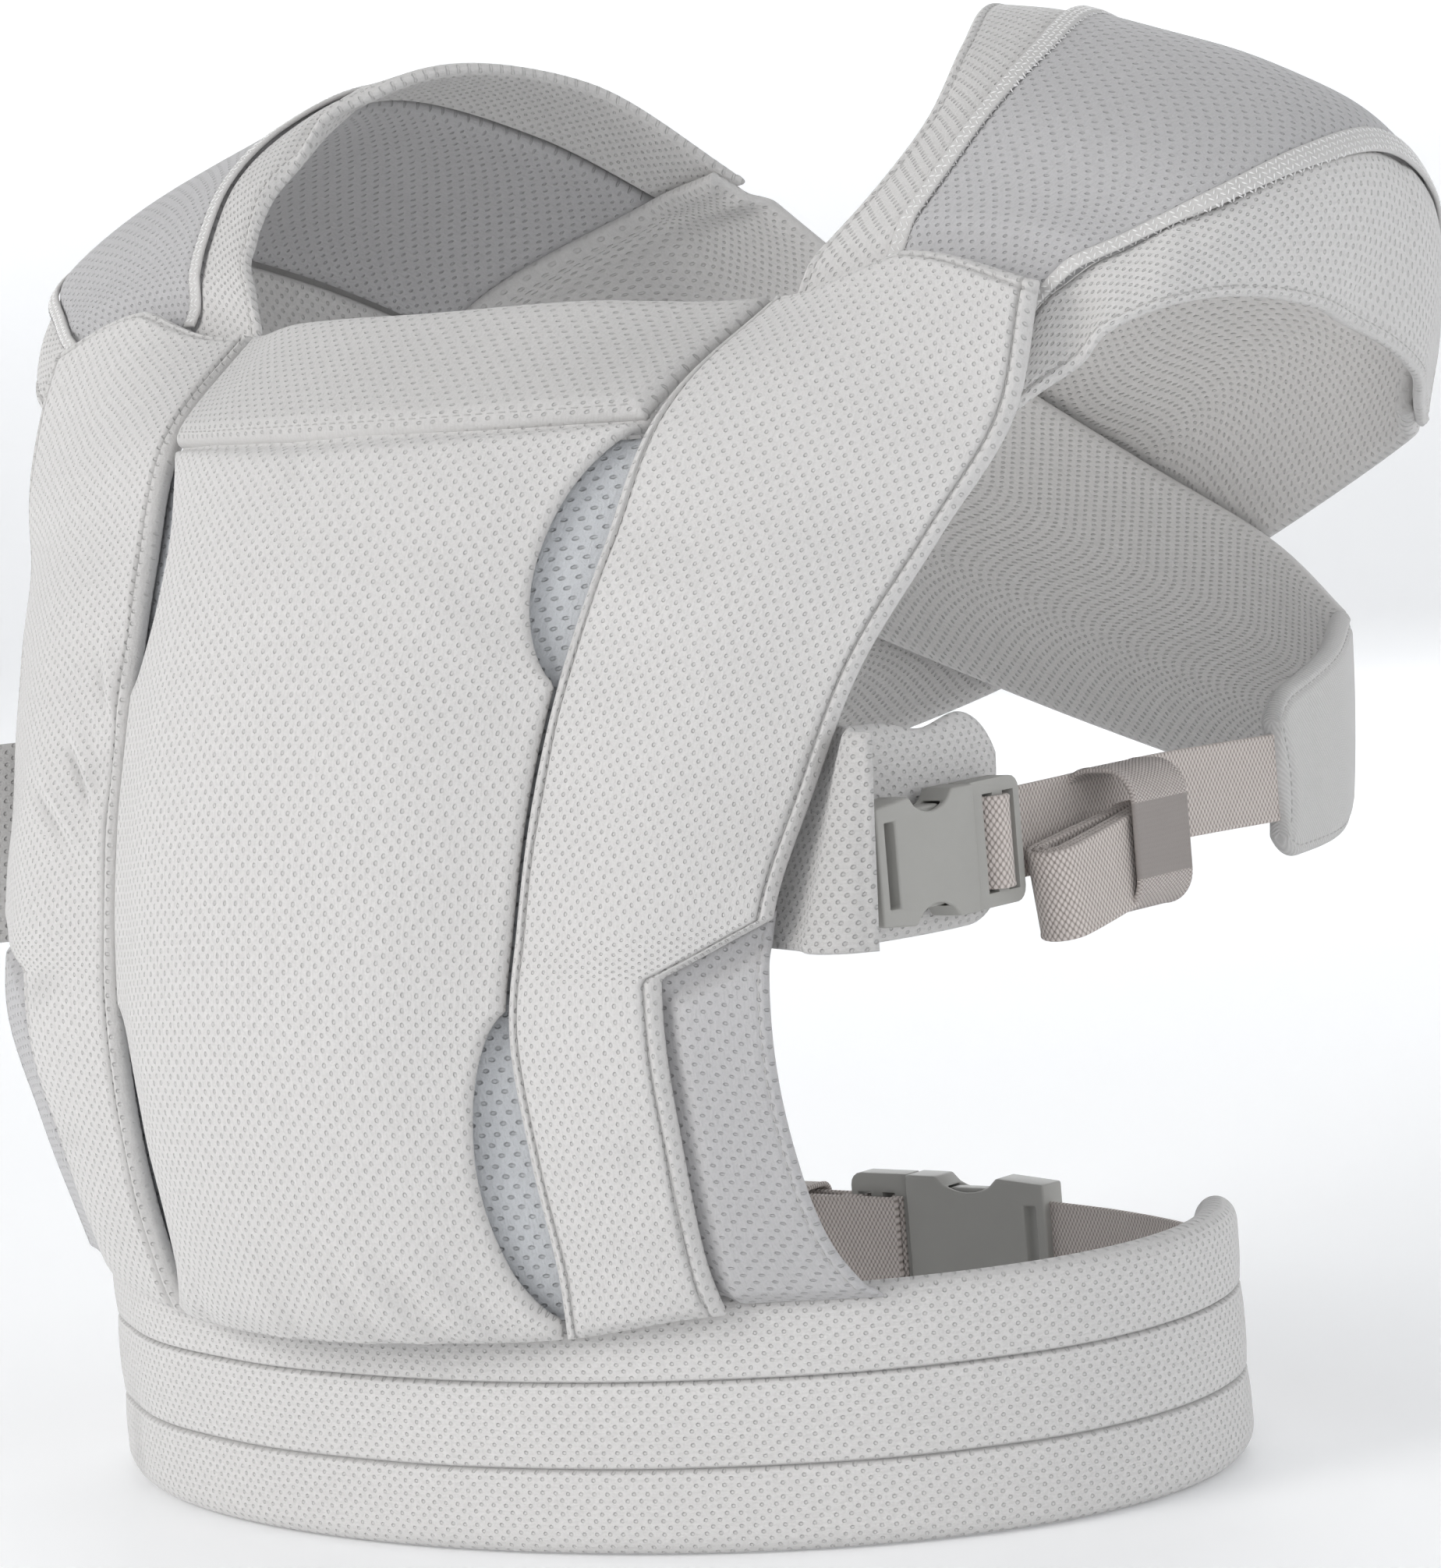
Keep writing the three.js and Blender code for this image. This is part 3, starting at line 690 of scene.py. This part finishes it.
def front_panel():
    cloth = Cloth(shell, (0, level(8) + 0.014), lambda u: 1 - panel_side(u), panel_side, 5, crown=1.6)
    cloth.bend(-3.2 * MM * smoothstep(1 - (cloth.edge["end"] - 5 * MM) / (7 * MM)))
    x = cloth.mid[..., 0] / MM
    bottom = cloth.edge["start"]
    for place, size, lean in ((-55, 0.8, 4), (-8, 0.7, -4), (20, 1.3, -14), (38, 2.0, -18), (53, 1.6, -16)):
        ridge = fold(cloth, (place, 58), (place + lean, 84 + 4 * size), 5.0, 1.1 * size)
        valley = fold(cloth, (place + 6, 56), (place + 6 + 0.8 * lean, 76 + 4 * size), 3.6, -0.9 * size)
        cloth.raise_front(ridge, sewn=False)
        cloth.raise_front(valley, sewn=False)
    cloth.raise_front(ripples(cloth, 3, 60, 0.9) + ripples(cloth, 4, 22, 0.25))
    cloth.raise_front(fold(cloth, (-66, 170), (-40, 128), 7, 0.9) + fold(cloth, (66, 240), (40, 262), 6, 0.8))
    cloth.raise_front(1.2 * MM * np.exp(-((bottom - 10 * MM) / (8 * MM)) ** 2) * (1 + 0.15 * np.sin(x / 3.1)))
    sew(cloth, "front_panel", "cloth", PANEL_KNIT)


def inner_panel():
    cloth = Cloth(shell, (level(0.15), level(8) - 0.004), constant(0.14), constant(0.86), 3, lift=-LINER_LIFT,
                  step=3)
    cloth.raise_front(ripples(cloth, 8, 50, 0.5))
    sew(cloth, "inner_panel", "cloth", LINER_KNIT, slot="liner_mesh")


def head_support():
    low, high = constant(1 - INNER_V + 0.006), constant(INNER_V - 0.006)
    cloth = Cloth(shell, (level(8) + 0.003, 1), low, high, 8, crown=0.8)
    cloth.raise_front(ripples(cloth, 11, 48, 0.5))
    cloth.raise_front(piping(cloth.edge["start"], 2.6, 0.2, 0.3))
    start, end = ((0, (SHIFT_Y + HEAD_FOLD_Y) * MM, z * MM) for z in HEAD_FOLD_Z)
    pad = sew(cloth, "head_support", "pad", REST_KNIT, body=None, slot="mesh_dark")
    thread = stitches("head_support_stitching", [cloth.track("start", 3.0, 5)], body=None, slot="mesh_dark")
    for piece in (pad, thread):
        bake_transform(piece)
        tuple(start)
        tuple(end)


def strap_outer_side(u):
    t = np.clip((u - level(3.5)) / (level(3.95) - level(3.5)), 0, 1)
    return LEG_SEAM_V + t * (1 - LEG_SEAM_V)


def strap_surface(u, v):
    """The shell with the strap's top edge cut straight from its inner side to the corner in its middle."""
    inner_half = np.clip((v - INNER_V) / (1 - INNER_V) * 2, 0, 1)
    lowered = 0.012 * np.sin(np.pi * inner_half) * smoothstep((u[:, None] - 0.75) / 0.25)
    where = u[:, None] - lowered
    return shell(where.ravel(), v.reshape(-1, 1)).reshape(*v.shape, 3)


def strap_front(name, side):
    inner = constant(INNER_V + EDGE / 2)
    cloth = Cloth(strap_surface, (0, 1), inner, strap_outer_side, 7, side=side, crown=1.4)
    cloth.raise_front(ripples(cloth, 21 + side, 55, 0.8))
    if side < 0:
        for a, b, size in (
            ((98, 226), (80, 196), 1.7), ((112, 214), (84, 186), 1.3), ((92, 250), (79, 222), 1.2),
        ):
            cloth.raise_front(fold(cloth, a, b, 3.2, size) + fold(cloth, (a[0] + 5, a[1] - 4), b, 2.2, -size))
    cloth.raise_front(fold(cloth, (80, 122), (104, 108), 8, 0.8) + fold(cloth, (84, 262), (120, 252), 9, 0.9))
    cloth.raise_front(piping(cloth.edge["low"], 3.2, 1.3, 1.7))
    cloth.raise_front(piping(cloth.edge["high"], 4.0, 0.8, 1.6))
    cloth.raise_front(piping(cloth.edge["end"], 3.6, 0.8, 1.3))
    cloth.raise_front(1.0 * MM * np.exp(-((cloth.edge["start"] - 9 * MM) / (7 * MM)) ** 2))
    sew(cloth, f"strap_front_{name}", "pad", GRAIN_KNIT)
    tracks = [cloth.track("low", 3.2, 6), cloth.track("high", 4.0, 6), cloth.track("end", 3.6, 5)]
    stitches(f"strap_front_{name}_stitching", tracks)


def leg_panel(name, side):
    hidden = 0.022  # how far it goes on under the strap

    def surface(u, v):
        across = LEG_SEAM_V - hidden + v * (1 - LEG_SEAM_V + hidden)
        seam = np.maximum(across - LEG_SEAM_V, 0) / (1 - LEG_SEAM_V)
        top = level(3.62 + 0.42 * seam)
        where = u[:, None] * top
        return shell(where.ravel(), across.reshape(-1, 1)).reshape(*across.shape, 3)

    cloth = Cloth(surface, (0, 1), constant(0), constant(1), 4, side=side)
    under = np.minimum(cloth.edge["low"] - 6 * MM, cloth.edge["end"] - 7 * MM)
    cloth.bend(-4.6 * MM * smoothstep(1 - under / (7 * MM)))
    cloth.bend(-4.5 * MM * smoothstep(1 - cloth.edge["start"] / (8 * MM)))  # against the waistband
    cloth.raise_front(ripples(cloth, 31 + side, 40, 0.5))
    cloth.raise_front(piping(cloth.edge["high"], 3.0, 0.3, 0.4))
    sew(cloth, f"leg_panel_{name}", "cloth", DARK_KNIT, slot="mesh_dark")
    stitches(f"leg_panel_{name}_stitching", [cloth.track("high", 3.0, 4)], slot="mesh_dark")


# ---------- shoulders ----------
# The shoulder's cloth starts under the end of the front strap.
UNDER_STRAP = [[96, -47, 313], [128, -41, 321], [171, -32, 314], [174, -39, 296]]
SHOULDER_RAILS = [SHOULDER_NECK, SHOULDER_SEAM_IN, SHOULDER_SEAM_OUT, SHOULDER_EDGE]
shoulder = loft([[under] + rail for under, rail in zip(UNDER_STRAP, SHOULDER_RAILS)])
SEAM_GAP = 0.006
BAND_WIDTH = 9.0


def shoulder_piece(name, side, part, low, high, thickness, material, slot, seams):
    cloth = Cloth(shoulder, (0.02, 1), constant(low), constant(high), thickness, side=side)
    cloth.bend(-4 * MM * smoothstep(1 - (cloth.along - 20 * MM) / (14 * MM)))
    cloth.raise_front(ripples(cloth, 41 + side + len(part), 50, 0.6))
    cloth.raise_front(piping(cloth.edge["end"], 3.6, 0.5, 0.9))
    if part == "outer_wing":
        for a, b, width, size in (
            ((206, -8), (222, 60), 5.0, 2.2), ((213, 0), (221, 90), 4.0, -3.4),
            ((221, 70), (196, 146), 5.0, 1.4),
        ):
            cloth.bend(fold(cloth, a, b, width, size, axes=(0, 1)))
    if part == "inner_wing" and side < 0:
        cloth.bend(fold(cloth, (112, -14), (120, 50), 4.5, 2.6, axes=(0, 1)))
        cloth.bend(fold(cloth, (119, -8), (127, 55), 3.5, -2.6, axes=(0, 1)))
    for edge in seams:
        cloth.raise_front(groove(cloth.edge[edge] - 0.4 * MM, 0.6, 1.0))
    hem = {"inner_wing": "low", "outer_wing": "high"}.get(part)
    if hem:
        cloth.raise_front(piping(cloth.edge[hem], 3.4, 0.4, 0.5))
    sew(cloth, f"{part}_{name}", "cloth", material, slot=slot)
    if hem:
        tracks = [cloth.track(hem, 3.4, 5), cloth.track("end", 3.6, 4)]
        stitches(f"{part}_{name}_stitching", tracks, slot=slot)


def seam_band(name, side, part, centre):
    """A flat tape over a shoulder seam, with rows of zigzag stitching between its edges."""
    half = 0.5 * BAND_WIDTH / 215
    cloth = Cloth(shoulder, (0.1, 0.99), constant(centre - half), constant(centre + half), 1.4, lift=3.4,
                  side=side, step=1.2)
    cloth.bend(-4 * MM * smoothstep(1 - (cloth.along - 4 * MM) / (14 * MM)))
    piece = settle(cloth.build(f"{part}_{name}", TAPE), "carrier", "mesh_light")
    tracks = [cloth.track("low", width, 1) for width in (1.5, 3.3, 5.1, 6.9)]
    stitches(f"{part}_{name}_zigzag", tracks, PALE_THREAD, length=1.3, gap=0.5, radius=0.34, zigzag=0.7,
             sink=-0.05)


def shoulders(name, side):
    third = 1 / 3
    shoulder_piece(name, side, "inner_wing", 0, third - SEAM_GAP, 4, LIGHT_KNIT, "mesh_light", ["high"])
    shoulder_piece(name, side, "shoulder_pad", third + SEAM_GAP, 2 * third - SEAM_GAP, 7, DARK_KNIT,
                   "mesh_dark", ["low", "high"])
    shoulder_piece(name, side, "outer_wing", 2 * third + SEAM_GAP, 1, 4, LIGHT_KNIT, "mesh_light", ["low"])
    seam_band(name, side, "inner_seam_band", third - 0.003)
    seam_band(name, side, "outer_seam_band", 2 * third + 0.003)


# ---------- back straps and their ends ----------
def back_strap(name, side):
    lift = side * CROSS_LIFT
    last = len(BACK_UPPER) - 1

    def offset(points):
        rise = [lift * max(math.sin(math.pi * k / last), 0) ** 0.4 for k in range(last + 1)]
        return [[x, y + up, z] for up, (x, y, z) in zip(rise, points)]

    # It starts under the shoulder's end.
    under = [(0.8 * np.array(rail[-1]) + 0.2 * np.array(rail[-2])).tolist() for rail in SHOULDER_RAILS]
    surface = loft([
        [start, shoulder_rail[-1]] + offset(rail)[1:] for start, shoulder_rail, rail in
        zip(under, SHOULDER_RAILS, (BACK_UPPER, BACK_SEAM_IN, BACK_SEAM_OUT, BACK_LOWER))
    ])
    cloth = Cloth(surface, (0, 1), constant(0), constant(1), 7, side=side, step=2.2)
    cloth.bend(-4.5 * MM * smoothstep(1 - (cloth.along - 14 * MM) / (10 * MM)))
    cloth.raise_front(ripples(cloth, 51 + side, 60, 0.7))
    for x, z, lean in ((150, 318, 26), (128, 330, 30), (104, 344, 22)):
        cloth.raise_front(fold(cloth, (x, z), (x - 52, z - lean), 4.5, 1.3))
        cloth.raise_front(fold(cloth, (x + 7, z - 6), (x - 40, z - lean - 8), 3.0, -1.0))
    for edge in ("low", "high"):
        cloth.raise_front(piping(cloth.edge[edge], 3.8, 0.5, 0.9))
    sew(cloth, f"back_strap_{name}", "pad", LIGHT_KNIT)
    tracks = [cloth.track(edge, 3.8, 4) for edge in ("low", "high")]
    stitches(f"back_strap_{name}_stitching", tracks)


def corner_cut(u, span, radius):
    """How far a round corner cuts in at u, near the end of a span. Both lengths are in millimetres."""
    from_end = np.clip((1 - u) * span, 0, radius)
    return radius - np.sqrt(np.maximum(radius**2 - (radius - from_end) ** 2, 0))


def strap_end(name, side):
    surface = loft([END_UPPER, END_LOWER])
    cut = lambda u: corner_cut(u, 66, 8) / 52
    cloth = Cloth(surface, (0, 1), cut, lambda u: 1 - cut(u), 8, side=side, step=1.6, crown=0.8)
    for edge in ("low", "high", "start", "end"):
        cloth.raise_front(piping(cloth.edge[edge], 3.2, 0.5, 1.0))
    sew(cloth, f"strap_end_{name}", "pad", JERSEY)
    tracks = [cloth.track("low", 3.2, 4), cloth.track("high", 3.2, 4), cloth.track("end", 3.2, 6)]
    stitches(f"strap_end_{name}_stitching", tracks, length=1.8, gap=0.8)


# ---------- underarm pad and buckle sleeve ----------
def underarm_pad(name, side):
    height = PAD_Z[1] - PAD_Z[0]
    cut = lambda u: corner_cut(u, 68, 14) / height
    dip = lambda u: 0.055 * np.exp(-((u - 0.62) / 0.14) ** 2)
    cloth = Cloth(wall(PAD_LINE, PAD_Z), (0, 1), lambda u: cut(u) + dip(u), lambda u: 1 - cut(u), 7,
                  side=side, step=1.5, crown=0.8, corner=2.2)
    cloth.raise_front(ripples(cloth, 61, 30, 0.8))
    sew(cloth, f"underarm_pad_{name}", "cloth", LIGHT_KNIT)


def buckle_sleeve(name, side):
    # It starts behind the strap's edge.
    surface = loft([
        [[136, -73, 221], [145, -80, 221]] + SLEEVE_UPPER, [[121, -98, 163], [133, -102, 163]] + SLEEVE_LOWER,
    ])
    cloth = Cloth(surface, (0, 1), constant(0.02), constant(0.99), 3, side=side, step=1.4)
    cloth.raise_front(ripples(cloth, 71, 30, 0.5))
    cloth.raise_front(groove(cloth.edge["end"] - 3 * MM, 0.3, 1.2))
    # The sleeve gets the darkened knit, which paints its shade.
    sew(cloth, f"buckle_sleeve_{name}", "cloth", SHADED_SLEEVE_KNIT)


# ---------- waistband ----------
def waist_angle(x):
    return math.acos(x / WAIST_A)


def waist_arc(start, end, offset=0.0, count=9):
    angles = np.linspace(start, end, count)
    return np.stack([(WAIST_A + offset) * np.cos(angles), (WAIST_B + offset) * np.sin(angles)], -1).tolist()


HINGE = -waist_angle(WING_HINGE_X)
WING_END = math.asin(WAIST_END_Y / WAIST_B)
WING_OVERLAP = 0.005  # radians
CHANNELS = (1 / 3, 2 / 3)  # where the band is quilted, as shares of its height


def band_relief(cloth, seed):
    from_hinge = np.minimum(cloth.edge["start"], cloth.edge["end"])
    cloth.raise_front(ripples(cloth, seed, 70, 0.9) * smoothstep(from_hinge / (30 * MM)))
    for share in CHANNELS:
        line = cloth.across - share * WAIST_HEIGHT * MM
        cloth.raise_front(groove(line, 1.5, 0.55))
        cloth.raise_front(groove(line, 0.5, 5.0))
    cloth.back = cloth.back + 0.5 * MM * np.sin(np.pi * np.clip(cloth.across / (WAIST_HEIGHT * MM), 0, 1))


def channel_tracks(cloth, trim=0.0):
    return [cloth.track("low", share * WAIST_HEIGHT, trim) for share in CHANNELS]


def waistband():
    """Builds the front of the band and returns its length, where the left wing's knit goes on."""
    line = waist_arc(-math.pi - HINGE, HINGE, 0, 61)
    cloth = Cloth(wall(line, [0, WAIST_HEIGHT]), (0, 1), constant(0), constant(1), WAIST_PAD, step=2.0,
                  round_edges="low high", corner=1.2, seams=CHANNELS)
    band_relief(cloth, 81)
    sew(cloth, "waistband_front", "pad", LIGHT_KNIT)
    stitches("waistband_front_stitching", channel_tracks(cloth), sink=-0.2)
    return cloth.along[-1].mean()


def waistband_wing(name, side, front_length):
    line = waist_arc(HINGE - WING_OVERLAP, WING_END, 0, 31)
    cut = lambda u: corner_cut(u, WING_LENGTH, WING_CORNER) / WAIST_HEIGHT
    cloth = Cloth(wall(line, [0, WAIST_HEIGHT]), (0, 1), cut, lambda u: 1 - cut(u), WAIST_PAD, side=side,
                  step=2.0, round_edges="low high end", corner=1.2, seams=CHANNELS)
    cloth.knit[..., 1] = front_length + cloth.along if side > 0 else -cloth.along
    band_relief(cloth, 91)
    pad = sew(cloth, f"waistband_wing_{name}", "pad", LIGHT_KNIT, body=None)
    thread = stitches(f"waistband_wing_{name}_stitching", channel_tracks(cloth, 0.5), body=None, sink=-0.2)
    for piece in (pad, thread):
        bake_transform(piece)


front_panel()
inner_panel()
head_support()
front_length = waistband()
for name, side in SIDES:
    strap_front(name, side)
    leg_panel(name, side)
    shoulders(name, side)
    back_strap(name, side)
    strap_end(name, side)
    underarm_pad(name, side)
    buckle_sleeve(name, side)
    waistband_wing(name, side, front_length)


# ---------- webbing ----------
def ribbon(node, path, width, body, side=1, thickness=1.5, across=(0, 0, 1), material=STRAP_WEB,
           ending="strap", closed=False):
    """A flat strap of webbing along a path in millimetres. across is the way of its width."""
    points = metres(path)
    if not closed:
        fine = np.linspace(0, 1, 12 * len(points))
        points = catmull(points, fine)
        run = distances(points)
        even = np.linspace(0, run[-1], max(6, int(run[-1] / (1.2 * MM))))
        points = np.stack([np.interp(even, run, points[:, k]) for k in range(3)], -1)
        tangent = np.gradient(points, axis=0)
    else:
        tangent = np.roll(points, -1, axis=0) - np.roll(points, 1, axis=0)
    tangent /= np.linalg.norm(tangent, axis=1, keepdims=True)
    wide = np.array(across, float) - tangent * (tangent @ np.array(across, float))[:, None]
    wide /= np.linalg.norm(wide, axis=1, keepdims=True)
    out = np.cross(wide, tangent)
    a, b = width / 2, thickness / 2
    rib = 0.18  # how far the selvedge stands up
    upper = [(a, 0), (a - 0.1, b * 0.7), (a - 0.5, b + rib), (a - 1.2, b + rib)]
    upper += [(a - 1.9, b), (a / 2, b), (0, b)]
    upper += [(-x, y) for x, y in upper[-2::-1]]
    section = upper + [(x, -y) for x, y in upper[-2:0:-1]]
    section = np.array(section) * MM
    ring = points[:, None, :] + section[None, :, :1] * wide[:, None, :]
    ring = ring + section[None, :, 1:] * out[:, None, :]
    rows, columns = ring.shape[:2]
    index = np.arange(rows * columns).reshape(rows, columns)
    after = np.roll(index, -1, axis=1)
    last = rows if closed else rows - 1
    onward = np.roll(index, -1, axis=0)
    next_after = np.roll(after, -1, axis=0)
    faces = np.stack([index, after, next_after, onward], -1)[:last].reshape(-1, 4).tolist()
    if not closed:
        faces += [index[0].tolist()[::-1], index[-1].tolist()]
    uv = np.stack(np.broadcast_arrays(section[None, :, 0], distances(points)[:, None]), -1).reshape(-1, 2)
    places = ring.reshape(-1, 3) * [side, 1, 1]
    return settle(mesh_piece(f"{node}_{ending}", places, faces, material, uv), body, "webbing", node)


def round_loop(centre, half_a, half_b, radius, way_a, way_b, steps=6):
    """A rounded rectangle's points around a centre, in millimetres, in the plane of two ways."""
    centre, way_a, way_b = (np.array(v, float) for v in (centre, way_a, way_b))
    points = []
    for k, (sa, sb) in enumerate(((1, 1), (-1, 1), (-1, -1), (1, -1))):
        for turn in np.linspace(0, math.pi / 2, steps):
            angle = turn + k * math.pi / 2
            a = sa * (half_a - radius) + radius * math.cos(angle)
            b = sb * (half_b - radius) + radius * math.sin(angle)
            points.append(centre + a * way_a + b * way_b)
    return np.array(points)


SIDE_BUCKLE = (161.5, -54, 184)
WAIST_BUCKLE = (0, 124, 34)
SIDE_WIDTH = 25
WAIST_WIDTH = 38
# Webbing's way over a plug's bar: how far out of the buckle's middle plane, and how far along the buckle.
WEB_BITE = [[-3.6, 5.0], [-1.0, 7.2], [2.6, 8.4], [4.9, 10.6], [5.2, 12.4], [4.6, 14.8],
            [2.0, 16.4], [-1.4, 17.4], [-3.6, 19.6], [-3.4, 25]]


def rolled_path():
    """The end of the webbing, rolled up flat in three turns, wider in front, its front a little lower."""
    bends = []
    for turn in range(3):
        bends.append((-21.5, 2.5 + 2 * turn, np.linspace(math.pi, 2 * math.pi, 8)))
        bends.append((15.5, 1.4 + 1.7 * turn, np.linspace(0, math.pi, 6)))
    places = [(168.6 + radius * math.cos(angle), y + radius * math.sin(angle))
              for y, radius, angles in bends for angle in angles]
    return [[x, y, 171.8 + 0.17 * y] for x, y in places]


def side_webbing(name, side):
    line = [[157.2, -50, 183.5], [156.6, -30, 183.8], [156.3, 0, 184], [156.6, 40, 184.6], [158.5, 70, 184.3],
            [161, 97.5, 183.8]]
    ribbon(f"side_webbing_{name}", line, SIDE_WIDTH, "carrier", side)
    x, y, z = SIDE_BUCKLE
    loop = [[x + out, y + on, z] for out, on in [[-3.4, 2.0]] + WEB_BITE]
    ribbon(f"web_loop_{name}", loop, SIDE_WIDTH, f"plug_{name}", side)
    tilt = unit(np.array([0, -0.17, 1]))
    ribbon(f"rolled_tail_{name}", rolled_path(), SIDE_WIDTH, f"plug_{name}", side, across=tilt)
    ring = round_loop([166, 15, 178], 11.6, 19.4, 9, (1, 0, 0), (0, 0, 1), 10)
    ribbon(f"side_keeper_{name}", ring, 25.5, f"keeper_{name}", side, 1.3, (0, 1, 0), FINE_WEB, "loop", True)


def waist_webbing():
    end_x, end_y = waist_arc(WING_END, WING_END, 0, 2)[0]
    flat = lambda line: [[x, y, WAIST_BUCKLE[2]] for x, y in line]
    back_line = [[84, 114], [118, 99], [142, 80], [end_x, end_y + 1]]
    left = back_line[::-1] + [[51, 123]]
    ribbon("waist_webbing_left", flat(left), WAIST_WIDTH, "belt_left", thickness=1.6)
    right_line = [[-117, 106], [-133, 91], [-146, 76], [-end_x, end_y + 0.6]]
    right = [[-3, WAIST_WEB_Y], [-50, WAIST_WEB_Y], [-98, WAIST_WEB_Y]] + right_line
    ribbon("waist_webbing_right", flat(right), WAIST_WIDTH, "belt_left", thickness=1.6)
    anchor = waist_arc(math.pi - WING_END + 0.02, math.pi + 0.25, WAIST_PAD / 2 + 1.5, 7)
    ribbon("waist_anchor_right", flat(anchor), WAIST_WIDTH, "belt_right", thickness=1.6)
    tail = [[-26, 125.2], [-50, 125.2], [-88, 125.2]]
    ribbon("waist_tail", flat(tail), WAIST_WIDTH, "belt_plug", thickness=1.6)
    loop = [[-on, WAIST_BUCKLE[1] + out, WAIST_BUCKLE[2]] for out, on in [[-3.6, 2.0]] + WEB_BITE]
    ribbon("waist_web_loop", loop, WAIST_WIDTH, "belt_plug")
    ring = round_loop([-42, 122.3, 34], 6.4, 20.7, 3, (0, 1, 0), (0, 0, 1))
    ribbon("waist_keeper", ring, 11.6, "belt_keeper", 1, 1.2, (1, 0, 0), FINE_WEB, "loop", True)


for name, side in SIDES:
    side_webbing(name, side)
waist_webbing()


# ---------- buckles ----------
BUCKLE_ROUNDING = 0.8  # millimetres


def softened(node, body):
    """The CAD piece with its flat faces joined up and its edges rounded, as moulded plastic has."""
    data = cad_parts[node].data.copy()
    made = add_object(f"{node}_moulding", data)
    shape = bmesh.new()
    shape.from_mesh(data)
    bmesh.ops.remove_doubles(shape, verts=shape.verts, dist=1e-6)
    bmesh.ops.dissolve_limit(shape, angle_limit=math.radians(3), verts=shape.verts, edges=shape.edges)
    sharp = [e for e in shape.edges if len(e.link_faces) == 2 and e.calc_face_angle() > math.radians(25)]
    bmesh.ops.bevel(shape, geom=sharp, offset=BUCKLE_ROUNDING * MM, segments=3, profile=0.5,
                    affect="EDGES", clamp_overlap=True)
    shape.to_mesh(data)
    shape.free()
    data.shade_smooth()
    data.set_sharp_from_angle(angle=math.radians(SHARP_ANGLE))
    data.materials.clear()
    data.materials.append(PLASTIC)
    return settle(made, body, "plastic", node)


for node in ("waist_socket", "waist_plug", "waist_prong_upper", "waist_prong_lower"):
    body = {"socket": "belt_left", "plug": "belt_plug"}.get(node[6:], node.replace("waist", "belt"))
    softened(node, body)
for name, side in SIDES:
    softened(f"side_socket_{name}", "carrier")
    softened(f"side_plug_{name}", f"plug_{name}")
    softened(f"side_prong_upper_{name}", f"prong_upper_{name}")
    softened(f"side_prong_lower_{name}", f"prong_lower_{name}")


# ---------- floor ----------
FLOOR_GAP = 0.0004  # metres, so that the carrier's lower edge doesn't lie in the floor


def floor():
    """A pale disc that turns up into a wall far away, so that it has no corner from any side."""
    turns = 96
    flat, bend, top = 2.6, 1.2, 3.0  # metres: where the flat part ends, the bend's radius, the wall's top
    rise = [(flat + bend * math.sin(a), bend - bend * math.cos(a)) for a in np.linspace(0.1, math.pi / 2, 14)]
    profile = [(0.001, 0.0), (1.5, 0.0), (flat, 0.0)] + rise + [(flat + bend, top)]
    angles = np.linspace(0, 2 * math.pi, turns + 1)[:-1]
    places = np.array([[r * math.cos(a), r * math.sin(a), z - FLOOR_GAP] for r, z in profile for a in angles])
    index = np.arange(len(places)).reshape(len(profile), turns)
    after = np.roll(index, -1, axis=1)
    faces = np.stack([index[:-1], after[:-1], after[1:], index[1:]], -1).reshape(-1, 4).tolist()
    tree = Tree("floor_paint")
    made = mesh_piece("floor", places, faces, tree.material)
    grain = tree.noise(tree.node("TexCoord").outputs["Object"], 40.0)
    tree.finish(tree.mix(grain, (0.92, 0.925, 0.93, 1), (0.94, 0.945, 0.95, 1)), 0.7, grain, 0.0002)
    height = tree.node("SeparateXYZ", {"Vector": tree.node("TexCoord").outputs["Object"]}).outputs[2]
    tree.shader.inputs["Emission Color"].default_value = (0.97, 0.98, 1, 1)
    tree.wire(tree.ramp(height, 0.0, 1.0, 0.1, 0.58), tree.shader.inputs["Emission Strength"])


floor()
